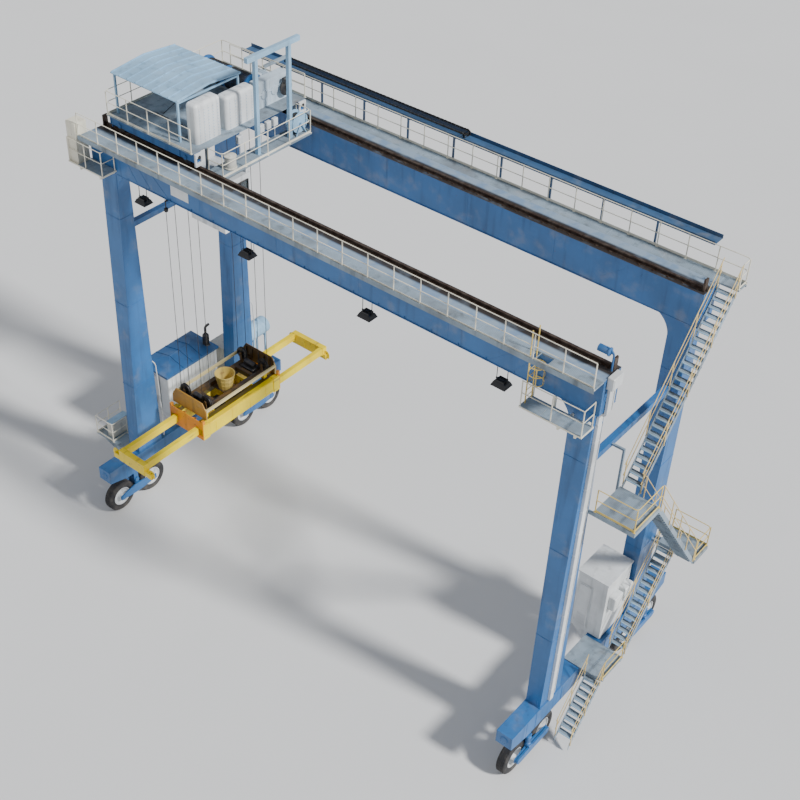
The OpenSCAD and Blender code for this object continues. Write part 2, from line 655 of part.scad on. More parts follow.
// Small railed platforms by the two near legs, the right one under the girder,
// the left one on brackets on its web with a tall cabinet
platform_out = 760;
girder_face = girder_y + girder_w / 2;
module leg_platforms() color(rail_white) {
    web = girder_face + flange_lip;
    y0 = -web - platform_out;
    beam = 110;
    hanger = 70;
    for (i = [0, 1]) {
        p = platform_x[i];
        z = platform_z[i];
        block([p[0], y0, z - floor_t], [p[1], -web, z]);
        handrail_run([p[0] + 40, y0 + 40, z], [p[1] - 40, y0 + 40, z], 1100);
        handrail_run([p[1] - 40, y0 + 40, z], [p[1] - 40, -web - 60, z], 900);
    }
    for (x = [leg_x - 380, leg_x + 300])
        block([x, y0, platform_z[0] - floor_t - beam],
              [x + 80, -girder_y - leg_dy(platform_z[0] - 200), platform_z[0] - floor_t]);
    for (x = [platform_x[0][0], platform_x[0][0] + 900])
        block([x, -web, platform_z[0] - floor_t], [x + hanger, -web + hanger, girder_bottom]);
    for (x = [-girder_len / 2 + 100, -girder_len / 2 + 1300])
        block([x, y0, platform_z[1] - floor_t - beam], [x + 80, -girder_face, platform_z[1] - floor_t]);
    block([platform_x[1][0] + 20, y0 + 90, platform_z[1]], [-girder_len / 2 - 40, -web - 60, platform_z[1] + 1800]);
}

// Ladder with safety hoops through the hatch, down to the right platform
module caged_ladder() color(stair_yellow) {
    x = hatch_x[0] + 40;
    y_mid = (hatch_y[0] + hatch_y[1]) / 2;
    half = 200;
    low = platform_z[0];
    high = girder_top + handrail_h;
    rung_rise = 280;
    rungs = floor((girder_top - low) / rung_rise);
    hoop_r = 285;
    bar = 40;
    for (s = sides) rod([x, y_mid + s * half, low], [x, y_mid + s * half, high], post_d);
    for (i = [1:rungs]) rod([x, y_mid - half, low + i * rung_rise], [x, y_mid + half, low + i * rung_rise], 24);
    for (z = [low + 900, low + 1250, low + 1600]) translate([x, y_mid, z]) intersection() {
        translate([half, 0, 0]) rotate_extrude($fn = 64) translate([hoop_r, 0]) square([8, bar]);
        block([0, -hoop_r - 20, 0], [half + hoop_r + 20, hoop_r + 20, bar]);
    }
    for (a = [-60, 0, 60]) translate([x + half, y_mid, low + 900]) rotate([0, 0, a])
        block([hoop_r - 7, -bar / 2, 0], [hoop_r + 1, bar / 2, 700 + bar]);
}

// Floodlights under the near girder: housing, glass frame, yoke and arm
lamp_xs = [-9600, -3700, 2400, 8500];
module floodlights() color([0.08, 0.08, 0.09]) for (x = lamp_xs)
    translate([x, -girder_y - girder_w / 2 + 100, girder_bottom]) {
        lamp_w = 460;
        block([-40, -40, -520], [40, 40, 0]);
        block([-lamp_w / 2 - 40, -30, -560], [lamp_w / 2 + 40, 30, -519]);
        for (s = sides) block([s * (lamp_w / 2 + 28) - 12, -30, -760], [s * (lamp_w / 2 + 28) + 12, 30, -520]);
        translate([0, 0, -750]) rotate([0, 90, 0]) linear_extrude(height = lamp_w + 40, center = true)
            polygon([[-60, -190], [150, -250], [150, 250], [-60, 190], [-110, 90], [-110, -90]]);
    }

// Cable duct and pipes down the outer face of the near right leg
module cable_trunking() color([0.9, 0.91, 0.92]) {
    y0 = -girder_y - 210;
    low = sill_top + 100;
    high = girder_bottom - 670;
    for (part = [[0, 240, 120], [300, 60, 60]])
        translate([0, y0 + part[0] + part[1], 0]) rotate([90, 0, 0]) linear_extrude(height = part[1])
            polygon([[leg_x + leg_dx(low) + 1, low], [leg_x + leg_dx(low) + part[2], low],
                     [leg_x + leg_dx(high) + part[2], high], [leg_x + leg_dx(high) + 1, high]]);
}

// Trolley frame: end carriages with wheel forks, joined by cross beams, and
// beams beside the rope slots
frame_low = rail_top + 170;
frame_high = frame_low + 430;
carriage_w = 340;
sheave_x = 700;
sheave_y = 1900;
cheek = 130;
wheel_lift = 0.4;
trolley_wheel_z = rail_top + trolley_wheel_d / 2 + wheel_lift;
module trolley_frame() color(paint_blue) translate([trolley_x, 0, 0]) {
    fork_t = 40;
    fork_gap = 210;
    axle_d = 110;
    cross_w = 320;
    cross_x = trolley_base / 2 - 520;
    body = trolley_base / 2 - trolley_wheel_d / 2 - 40;
    for (s = sides) translate([0, s * rail_y, 0]) {
        block([-body, -carriage_w / 2, frame_low], [body, carriage_w / 2, frame_high]);
        for (t = sides) block([-deck_len / 2, t * (fork_gap + fork_t) / 2 - fork_t / 2, frame_low],
                              [deck_len / 2, t * (fork_gap + fork_t) / 2 + fork_t / 2, frame_high]);
        block([-deck_len / 2, -carriage_w / 2, frame_high - 60], [deck_len / 2, carriage_w / 2, frame_high]);
        for (e = sides) translate([e * trolley_base / 2, 0, trolley_wheel_z]) rotate([90, 0, 0])
            cylinder(d = axle_d, h = fork_gap + 2 * fork_t + 30, center = true, $fn = 48);
        for (e = sides) block([e * (deck_len / 2 - 20) - 20, -carriage_w / 2, frame_low],
                              [e * (deck_len / 2 - 20) + 20, carriage_w / 2, frame_high]);
    }
    for (s = sides) block([s * cross_x - cross_w / 2, -rail_y + carriage_w / 2 - 1, frame_low - 60],
                          [s * cross_x + cross_w / 2, rail_y - carriage_w / 2 + 1, frame_high]);
    for (s = sides, t = sides) block([-cross_x, s * sheave_y + t * (cheek + 50) - 50, frame_low + 80],
                                     [cross_x, s * sheave_y + t * (cheek + 50) + 50, frame_high]);
}

// Deck plates with rope slots, the side deck one step lower, and the arm that
// tows the energy chain
deck_z = frame_high + 30;
side_deck_x = [deck_len / 2, deck_len / 2 + 950];
side_deck_z = girder_top - 250;
chain_top = tray_low + 312;
module trolley_deck() color(deck_grey) translate([trolley_x, 0, 0]) {
    y = rail_y + carriage_w / 2 + 150;
    slot_x = 350;
    slot_y = 80;
    arm = 120;
    arm_gap = 18;
    difference() {
        block([-deck_len / 2, -y, frame_high], [deck_len / 2, y, deck_z]);
        for (s = sides, t = sides) translate([s * sheave_x, t * sheave_y, 0])
            block([-slot_x, -slot_y, frame_high - 1], [slot_x, slot_y, deck_z + 1]);
    }
    block([side_deck_x[0], -2600, side_deck_z - floor_t], [side_deck_x[1], 2600, side_deck_z]);
    for (y1 = [-2600, 2520])
        block([side_deck_x[0], y1, side_deck_z - floor_t], [side_deck_x[0] + 80, y1 + 80, deck_z]);
    block([side_deck_x[0] - 1, -2600, frame_high], [side_deck_x[0] + 80, 2600, deck_z]);
    block([-arm / 2, y, frame_high - 100], [arm / 2, y + arm, chain_top + arm_gap + arm]);
    block([-arm / 2, y - 1, frame_high], [arm / 2, y + 1, deck_z]);
    block([-arm / 2, y, chain_top + arm_gap], [arm / 2, tray_in + tray_w / 2, chain_top + arm_gap + arm]);
}

module trolley_wheels() color([0.45, 0.46, 0.48]) translate([trolley_x, 0, 0])
    for (s = sides, e = sides) translate([e * trolley_base / 2, s * rail_y, trolley_wheel_z])
        rotate([90, 0, 0]) difference() {
            union() {
                cylinder(d = trolley_wheel_d, h = 130, center = true, $fn = 64);
                for (t = sides) translate([0, 0, t * 78]) cylinder(d = trolley_wheel_d + 60, h = 26, center = true, $fn = 64);
            }
            cylinder(d = 110.1, h = 220, center = true, $fn = 48);
        }

module trolley_handrails() color(rail_white) translate([trolley_x, 0, 0]) {
    y = rail_y + carriage_w / 2 + 110;
    x = deck_len / 2 - 40;
    x1 = side_deck_x[1] - 40;
    handrail_run([-x, -y, deck_z], [x, -y, deck_z]);
    handrail_run([-x, y, deck_z], [x, y, deck_z]);
    handrail_run([-x, -y, deck_z], [-x, y, deck_z]);
    handrail_run([x1, -2560, side_deck_z], [x1, 2560, side_deck_z]);
    handrail_run([side_deck_x[0] + 120, -2560, side_deck_z], [x1, -2560, side_deck_z], 900);
    handrail_run([side_deck_x[0] + 120, 2560, side_deck_z], [x1, 2560, side_deck_z], 900);
}

// Hoist drum with grooved barrel between flanges, on two bearing stands
drum_y = 1500;
drum_z = deck_z + 700;
drum_x = -200;
module hoist_drum() color([0.30, 0.45, 0.60]) translate([trolley_x + drum_x, drum_y, drum_z]) rotate([0, 90, 0])
    rotate_extrude($fn = 96) {
        grooves = 26;
        pitch = drum_len / grooves;
        difference() {
            translate([0, -drum_len / 2]) square([drum_d / 2, drum_len]);
            for (i = [0:grooves - 1]) translate([drum_d / 2 + 6, -drum_len / 2 + (i + 0.5) * pitch]) circle(r = 26, $fn = 12);
        }
        for (s = sides) translate([0, s * (drum_len / 2 + 20) - 20]) square([drum_d / 2 + 90, 40]);
        translate([0, -drum_len / 2 - 260]) square([75, drum_len + 520]);
    }

module hoist_drive() color([0.86, 0.9, 0.94]) translate([trolley_x, 0, 0]) {
    stand_t = 160;
    for (s = sides) {
        x = drum_x + s * (drum_len / 2 + 160);
        difference() {
            translate([x - stand_t / 2, 0, 0]) rotate([90, 0, 90]) linear_extrude(height = stand_t)
                polygon([[drum_y - 380, deck_z], [drum_y + 380, deck_z], [drum_y + 160, drum_z + 160],
                         [drum_y - 160, drum_z + 160]]);
            translate([x, drum_y, drum_z]) rotate([0, 90, 0]) cylinder(d = 150.1, h = stand_t + 2, center = true, $fn = 48);
        }
    }
    gear_x = drum_x + drum_len / 2 + 270;
    gear_w = 420;
    motor_y = drum_y + 1100;
    shaft_z = deck_z + 560;
    block([gear_x, drum_y - 400, deck_z], [gear_x + gear_w, motor_y + 300, deck_z + 1150]);
    translate([gear_x + 1, motor_y, shaft_z]) rotate([0, -90, 0]) cylinder(d = 560, h = 1150, $fn = 48);
    block([gear_x - 1050, motor_y - 230, deck_z], [gear_x - 200, motor_y + 230, shaft_z - 200]);
    translate([gear_x + gear_w - 1, motor_y, shaft_z]) rotate([0, 90, 0]) cylinder(d = 520, h = 60, $fn = 48);
}

// Roof on posts over the near half of the deck
module machinery_roof() color([0.62, 0.78, 0.90]) translate([trolley_x, 0, 0]) {
    low = [-2300, -3000];
    high = [1500, 500];
    eave_z = deck_z + 1750;
    ridge = 160;
    for (x = [low[0] + 60, high[0] - 140], y = [low[1] + 60, high[1] - 140])
        block([x, y, deck_z], [x + 80, y + 80, eave_z + 1]);
    translate([low[0], 0, eave_z]) rotate([90, 0, 90]) linear_extrude(height = high[0] - low[0])
        polygon([[low[1], 0], [low[1], 50], [(low[1] + high[1]) / 2, 50 + ridge], [high[1], 50], [high[1], 0],
                 [(low[1] + high[1]) / 2, ridge]]);
}

module switch_cabinets() color([0.93, 0.95, 0.96]) translate([trolley_x, 0, 0]) {
    block([1620, -2650, deck_z], [2120, 650, deck_z + 1650]);
    block([1600, -2670, deck_z + 1650], [2140, 670, deck_z + 1700]);
}

// Two posts with a beam over the machinery, for lifting parts out
module service_frame() color([0.55, 0.72, 0.85]) translate([trolley_x, 0, 0]) {
    x = side_deck_x[1] - 400;
    top = deck_z + 3070;
    for (y = [-200, 1700]) block([x - 80, y - 80, side_deck_z], [x + 80, y + 80, top]);
    block([x - 90, -700, top], [x + 90, 2300, top + 220]);
}

// Operator's cab: tapered front, window band and floor, hung below the side deck
cab_low = side_deck_z - 2600;
module operator_cab() color([0.88, 0.9, 0.92]) translate([trolley_x, 0, 0]) {
    x0 = side_deck_x[0] - 1100;
    x1 = side_deck_x[1] - 100;
    y0 = -2550;
    y1 = -1000;
    wall = 50;
    top = side_deck_z - floor_t - 300;
    difference() {
        block([x0, y0, cab_low], [x1, y1, top]);
        block([x0 + wall, y0 + wall, cab_low + wall], [x1 - wall, y1 - wall, top - wall]);
        block([x0 - 1, y0 + 150, cab_low + 500], [x0 + wall + 1, y1 - 150, top - 250]);
        block([x0 + 150, y1 - wall - 1, cab_low + 500], [x1 - 150, y1 + 1, top - 250]);
        block([x1 - wall - 1, y0 + 150, cab_low + 900], [x1 + 1, y1 - 150, top - 250]);
    }
    for (x = [x0 + 1150, x1 - 140], y = [y0 + 100, y1 - 180])
        block([x, y, top - 1], [x + 80, y + 80, side_deck_z - floor_t]);
}

// Sheaves: four under the deck, four on the head block, on one vertical line
axle_d = 90;
module sheave(w = 110) rotate([90, 0, 0]) {
    rotate_extrude($fn = 64) difference() {
        translate([0, -w / 2]) square([sheave_d / 2 + 45, w]);
        translate([sheave_d / 2 + 22, 0]) circle(r = 22 + rope_d / 4, $fn = 24);
        translate([sheave_d / 2 + 22, -rope_d]) square([60, 2 * rope_d]);
        translate([110, w / 2 - 30]) square([sheave_d / 2 - 170, 31]);
        translate([110, -w / 2 - 1]) square([sheave_d / 2 - 170, 31]);
    }
    cylinder(d = axle_d, h = 2 * cheek, center = true, $fn = 32);
}
upper_sheave_z = frame_low + 120;
module upper_sheaves() color([0.2, 0.22, 0.25]) translate([trolley_x, 0, 0]) for (sx = sides, sy = sides)
    translate([sx * sheave_x, sy * sheave_y, upper_sheave_z]) {
        sheave();
        for (t = sides) block([-60, t * (cheek - 20) - 20, -60], [60, t * (cheek - 20) + 20, frame_high - upper_sheave_z]);
    }

// Head block: bottom frame, side bars, cheeks for the sheaves and the shield
// plates at its ends
tube_z = spreader_z + 80;
frame_top = tube_z + tube_h;
head_z = frame_top + 310;
lower_sheave_z = head_z + 620;
bar_x = 620;
module head_block() color([0.85, 0.62, 0.15]) translate([trolley_x, 0, 0]) {
    shield_t = 40;
    shield_h = 880;
    half = head_len / 2 - shield_t + 1;
    bar_h = 260;
    for (s = sides) translate([0, s * (head_len - shield_t) / 2, 0]) rotate([90, 0, 0])
        linear_extrude(height = shield_t, center = true)
            polygon([[-head_w / 2, head_z], [head_w / 2, head_z], [head_w / 2, head_z + shield_h / 2],
                     [head_w / 2 - 250, head_z + shield_h], [-head_w / 2 + 250, head_z + shield_h],
                     [-head_w / 2, head_z + shield_h / 2]]);
    for (s = sides) block([s * (head_w / 2 - 45) - 45, -half, head_z + 400],
                          [s * (head_w / 2 - 45) + 45, half, head_z + 540]);
    for (s = sides) block([s * bar_x - 110, -half, head_z], [s * bar_x + 110, half, head_z + bar_h]);
    for (s = sides) block([-bar_x, s * 1300 - 90, head_z], [bar_x, s * 1300 + 90, head_z + bar_h]);
    block([-bar_x, -400, head_z], [bar_x, 400, head_z + 40]);
    difference() {
        for (s = sides, t = sides, u = sides) translate([s * sheave_x, t * sheave_y + u * (cheek - 20), 0])
            block([-60, -20, head_z + bar_h - 1], [60, 20, lower_sheave_z + 80]);
        for (s = sides) translate([s * sheave_x, 0, lower_sheave_z]) rotate([90, 0, 0])
            cylinder(d = axle_d + 0.2, h = head_len, center = true, $fn = 32);
    }
}
module lower_sheaves() color([0.2, 0.22, 0.25]) translate([trolley_x, 0, 0]) for (sx = sides, sy = sides)
    translate([sx * sheave_x, sy * sheave_y, lower_sheave_z]) sheave();

// Open basket that takes up the spreader's cable
module cable_basket() color(spreader_yellow) translate([trolley_x, 0, head_z + 40]) rotate_extrude($fn = 48)
    polygon([[0, 0], [330, 0], [480, 800], [465, 800], [318, 15], [0, 15]]);

// Main frame of the spreader: two box beams side by side on each flank, with a
// channel for a telescopic beam in each, collars at the ends, cross ribs and
// the feet of the head block
far_tube_x = frame_w / 2 - tube_w / 2;
near_tube_x = far_tube_x - tube_w + tube_wall;
main_half = frame_len / 2;
arm_z = tube_z + 180;
twenty_foot = 5853;
travel = (lock_y - twenty_foot) / 2;
module arm_channels(half, spare) for (s = sides, x = [far_tube_x, near_tube_x])
    block([s * x - tube_w / 2 + tube_wall, -half, arm_z - spare],
          [s * x + tube_w / 2 - tube_wall, half, arm_z + arm_h + spare]);
module spreader_frame() color(spreader_yellow) translate([trolley_x, 0, 0]) {
    rib = 60;
    inner = near_tube_x - tube_w / 2 + 1;
    collar = 40;
    difference() {
        for (s = sides) {
            block([s * (far_tube_x + near_tube_x) / 2 - (far_tube_x - near_tube_x + tube_w) / 2, -main_half, tube_z],
                  [s * (far_tube_x + near_tube_x) / 2 + (far_tube_x - near_tube_x + tube_w) / 2, main_half, frame_top]);
            for (t = sides) block([s * (frame_w / 2 - 100) - 100 - collar, t * (main_half - 200) - 200, tube_z - collar],
                                  [s * (frame_w / 2 - 100) + 100 + collar, t * (main_half - 200) + 200, frame_top + collar]);
        }
        arm_channels(main_half + 1, slide_gap);
    }
    for (y = [-main_half + rib / 2, -1300, 1300, main_half - rib / 2])
        block([-inner, y - rib / 2, tube_z + 60], [inner, y + rib / 2, frame_top - 60]);
    for (s = sides, t = sides) block([s * bar_x - 110, t * 2000 - 100, frame_top - 1], [s * bar_x + 110, t * 2000 + 100, head_z]);
}

// Plates across the ends of the main frame, with openings for the beams and
// an ear at each upper corner
module frame_end_plates() color([0.9, 0.5, 0.1]) translate([trolley_x, 0, 0]) {
    plate_t = 30;
    half_w = frame_w / 2 + 40;
    plate_top = frame_top + 250;
    difference() {
        for (t = sides) block([-half_w, t * (main_half + plate_t / 2) - plate_t / 2, tube_z - 40],
                              [half_w, t * (main_half + plate_t / 2) + plate_t / 2, plate_top]);
        arm_channels(main_half + plate_t + 1, slide_gap);
    }
    for (s = sides, t = sides)
        block([s * (half_w - 60) - 60, t * (main_half - 45) - 75, plate_top - 120],
              [s * (half_w - 60) + 60, t * (main_half - 45) + 75, plate_top + 80]);
}

// Telescopic beams with their end beam and twistlocks
module telescope(side, x) color(spreader_yellow) translate([trolley_x, 0, 0]) mirror([0, side > 0 ? 0 : 1, 0]) {
    w = tube_w - 2 * tube_wall - 2 * slide_gap;
    y_end = lock_y / 2;
    overlap = 1150;
    for (s = sides) block([s * x - w / 2, main_half - overlap, arm_z], [s * x + w / 2, y_end, arm_z + arm_h]);
    block([-x - w / 2 - 20, y_end - 140, spreader_z + 40], [x + w / 2 + 20, y_end + 140, arm_z + arm_h]);
    block([-lock_x / 2 - 90, y_end - 120, spreader_z + 40], [lock_x / 2 + 90, y_end + 120, spreader_z + 300]);
    for (s = sides) {
        block([s * lock_x / 2 - 90, y_end - 90, spreader_z], [s * lock_x / 2 + 90, y_end + 90, spreader_z + 41]);
        translate([s * lock_x / 2, y_end, spreader_z - 90]) cylinder(d = 54, h = 91, $fn = 32);
        translate([s * lock_x / 2 - 50, y_end - 28, spreader_z - 90]) cube([100, 56, 50]);
    }
}
module far_telescope() telescope(far_side, far_tube_x);
module near_telescope() telescope(near_side, near_tube_x);

// Falls of rope between the sheaves
module hoist_ropes() color(rope_grey) translate([trolley_x, 0, 0])
    for (sx = sides, sy = sides, side = sides)
        translate([sx * sheave_x + side * (sheave_d / 2 + rope_d / 2), sy * sheave_y, lower_sheave_z])
            cylinder(d = rope_d, h = upper_sheave_z - lower_sheave_z, $fn = 12);

near_girder();
far_girder();
trolley_rails();
near_left_leg();
near_right_leg();
far_left_leg();
far_right_leg();
left_tie_beam();
right_tie_beam();
left_sill_beam();
right_sill_beam();
bogie_frames();
tyres();
wheel_rims();
near_walkway();
far_walkway();
near_handrail();
far_handrail();
cable_tray();
energy_chain();
upper_flight();
middle_flight();
lower_flight();
ground_flight();
stair_handrails();
stair_landings();
landing_handrails();
power_house();
power_house_roof();
fuel_tank();
sill_cabinets();
sill_platform();
sill_handrails();
leg_boxes();
electrical_house();
leg_platforms();
caged_ladder();
floodlights();
cable_trunking();
trolley_frame();
trolley_deck();
trolley_wheels();
trolley_handrails();
hoist_drum();
hoist_drive();
machinery_roof();
switch_cabinets();
service_frame();
operator_cab();
upper_sheaves();
head_block();
lower_sheaves();
cable_basket();
spreader_frame();
frame_end_plates();
far_telescope();
near_telescope();
hoist_ropes();
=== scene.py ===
"""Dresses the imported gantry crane: finishes, railings, ropes, tyres, machinery and the stage."""

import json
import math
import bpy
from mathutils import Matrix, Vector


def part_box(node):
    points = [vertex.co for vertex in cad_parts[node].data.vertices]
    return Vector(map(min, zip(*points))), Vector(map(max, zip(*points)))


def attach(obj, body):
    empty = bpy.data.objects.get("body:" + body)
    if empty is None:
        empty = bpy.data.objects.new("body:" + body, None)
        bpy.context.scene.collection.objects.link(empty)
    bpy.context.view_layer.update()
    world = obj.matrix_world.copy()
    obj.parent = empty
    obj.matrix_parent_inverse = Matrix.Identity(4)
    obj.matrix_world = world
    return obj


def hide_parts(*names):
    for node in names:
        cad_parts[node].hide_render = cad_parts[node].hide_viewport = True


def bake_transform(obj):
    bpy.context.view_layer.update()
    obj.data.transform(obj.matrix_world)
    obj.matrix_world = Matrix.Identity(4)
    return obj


bl_info = {
    "name": "Rubber Tyred Gantry Crane",
    "version": (1, 0, 0),
    "blender": (4, 5, 0),
    "location": "3D View > Sidebar > Crane",
    "description": "Finishes and fine pieces for a gantry crane on rubber tyres",
    "category": "Object",
}

import bmesh
import bpy
import numpy as np
from bpy.props import FloatProperty, FloatVectorProperty, IntProperty, PointerProperty
from mathutils import Matrix, Vector

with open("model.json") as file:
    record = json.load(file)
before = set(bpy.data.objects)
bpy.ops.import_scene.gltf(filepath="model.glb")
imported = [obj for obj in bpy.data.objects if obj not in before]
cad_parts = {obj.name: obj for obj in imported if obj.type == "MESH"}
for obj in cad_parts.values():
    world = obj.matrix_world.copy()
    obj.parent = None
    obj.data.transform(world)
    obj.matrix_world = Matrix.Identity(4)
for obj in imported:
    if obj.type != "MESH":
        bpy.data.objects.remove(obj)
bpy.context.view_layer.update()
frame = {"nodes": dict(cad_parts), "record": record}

X = np.array([1.0, 0.0, 0.0])
Y = np.array([0.0, 1.0, 0.0])
Z = np.array([0.0, 0.0, 1.0])
SIDES = (-1, 1)
CORNERS = [(a, b) for a in SIDES for b in SIDES]


def node_box(name):
    """The lowest and the highest corner of a node's box."""
    return np.array([list(corner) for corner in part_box(name)])


# Places on the crane, in metres, read from the frame where a node gives them
GIRDER_LOW, GIRDER_HIGH = node_box("far_girder")
GIRDER_TOP = GIRDER_HIGH[2]
GIRDER_BOTTOM = GIRDER_LOW[2]
HALF_GIRDER = GIRDER_HIGH[0]
LIP = 0.035
WEB_INNER = GIRDER_LOW[1] + LIP
WEB_OUTER = GIRDER_HIGH[1] - LIP
GIRDER_Y = (WEB_INNER + WEB_OUTER) / 2
WEB_FOOT = GIRDER_BOTTOM + 0.03
LEG_X = 11.75
WALK_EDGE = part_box("far_walkway")[1][1]
RAIL_LINE = WALK_EDGE - 0.04
RAILING_HEIGHT = 1.08
RAIL_Y = 3.0
RAIL_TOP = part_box("trolley_rails")[1][2]
SILL_TOP = 2.85
SILL_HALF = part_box("right_sill_beam")[1][1]
AXLE_Z = 0.78
BOGIE_Y = 4.25
HALF_PITCH = 0.975
WHEEL_Y = np.array([side * BOGIE_Y + end * HALF_PITCH for side, end in CORNERS])
TROLLEY_X = -9.36
DECK_Z = 20.53
FRAME_LOW = 20.07
SIDE_DECK_Z = 19.5
SIDE_DECK = (2.57, 3.36)
DRUM = np.array([-0.2, 1.5, DECK_Z + 0.7])
DRUM_RADIUS = 0.45
DRUM_LENGTH = 2.6
SHEAVE_X = 0.7
SHEAVE_Y = 1.9
SHEAVE_RADIUS = 0.275
UPPER_SHEAVE_Z = FRAME_LOW + 0.12
HEAD_Z = 5.66
HEAD_HALF = 2.38
LOWER_SHEAVE_Z = HEAD_Z + 0.62
TUBE_Z = 4.6
TUBE_TOP = 5.35
FRAME_HALF_W = 1.07
MAIN_HALF = 2.6
FAR_ARM_X = 0.945
NEAR_ARM_X = 0.709
ARM_Z = (4.78, 5.16)
LOCK_X = 1.1295
LOCK_Y = 5.9925
LOCK_Z = 4.52
LAMP_X = (-9.6, -3.7, 2.4, 8.5)
LAMP_Y = -3.675
PLATE_Z = 18.86
CABINET_FACE = -13.1
SHEAVES = [(a * SHEAVE_X, b * SHEAVE_Y) for a, b in CORNERS]

# The camera's place, and its heading, pitch and roll in degrees
CAMERA_PLACE = (28.0, -34.83, 46.53)
CAMERA_TURN = (127.5, 39.3, 2.46)


# Mesh making


def at(*place):
    """A place, or a list of places, as an array."""
    return np.array(place, float)


def unit(vectors):
    """Each vector divided by its length."""
    vectors = np.asarray(vectors, float)
    return vectors / np.linalg.norm(vectors, axis=-1, keepdims=True)


def circle(radius, sides):
    """Points at equal angles on a circle, anticlockwise."""
    angle = np.arange(sides) * 2 * math.pi / sides
    return radius * np.stack([np.cos(angle), np.sin(angle)], -1)


def arc(angle, radius, axis, out=0.0):
    """Places at some angles round the axis of that number, pushed out along it."""
    return np.insert(radius * np.stack([np.cos(angle), np.sin(angle)], -1), axis, out, axis=1)


def around(radius, count, axis, out=0.0):
    """Places in a circle round the axis of that number, pushed out along it."""
    return arc(np.arange(count) * 2 * math.pi / count, radius, axis, out)


def strip(left, right, low, high):
    """The outline of a flat bar, as a profile."""
    return at((left, low), (right, low), (right, high), (left, high))


def carry(path, profile, up=Z):
    """A profile carried along a path: point = path + side * u + lift * v,
    where side is up x tangent and lift is tangent x side."""
    path = np.asarray(path, float)
    profile = np.asarray(profile, float)
    tangent = unit(np.gradient(path, axis=0))
    side = unit(np.cross(up, tangent))
    lift = np.cross(tangent, side)
    return path[:, None] + side[:, None] * profile[..., 0:1] + lift[:, None] * profile[..., 1:2]


def bent(corners, radius, steps=6):
    """A path through corners, each rounded by a quadratic curve that starts and
    ends at radius from the corner."""
    corners = np.asarray(corners, float)
    parts = [corners[:1]]
    t = np.linspace(0, 1, steps)[:, None]
    for before, corner, after in zip(corners[:-2], corners[1:-1], corners[2:]):
        a = corner + unit(before - corner) * min(radius, np.linalg.norm(before - corner) / 2)
        b = corner + unit(after - corner) * min(radius, np.linalg.norm(after - corner) / 2)
        parts.append((1 - t) ** 2 * a + 2 * t * (1 - t) * corner + t**2 * b)
    parts.append(corners[-1:])
    return np.concatenate(parts)


def grid3(xs, ys, zs):
    """Every combination of three lists of coordinates, as points."""
    return np.stack(np.meshgrid(xs, ys, zs, indexing="ij"), -1).reshape(-1, 3)


def spaced(low, high, pitch):
    """Even places from low to high, about a pitch apart."""
    return np.linspace(low, high, max(2, round((high - low) / pitch) + 1))


def along_girder(margin, pitch):
    """Even places along a girder, from a margin to a margin."""
    return spaced(margin - HALF_GIRDER, HALF_GIRDER - margin, pitch)


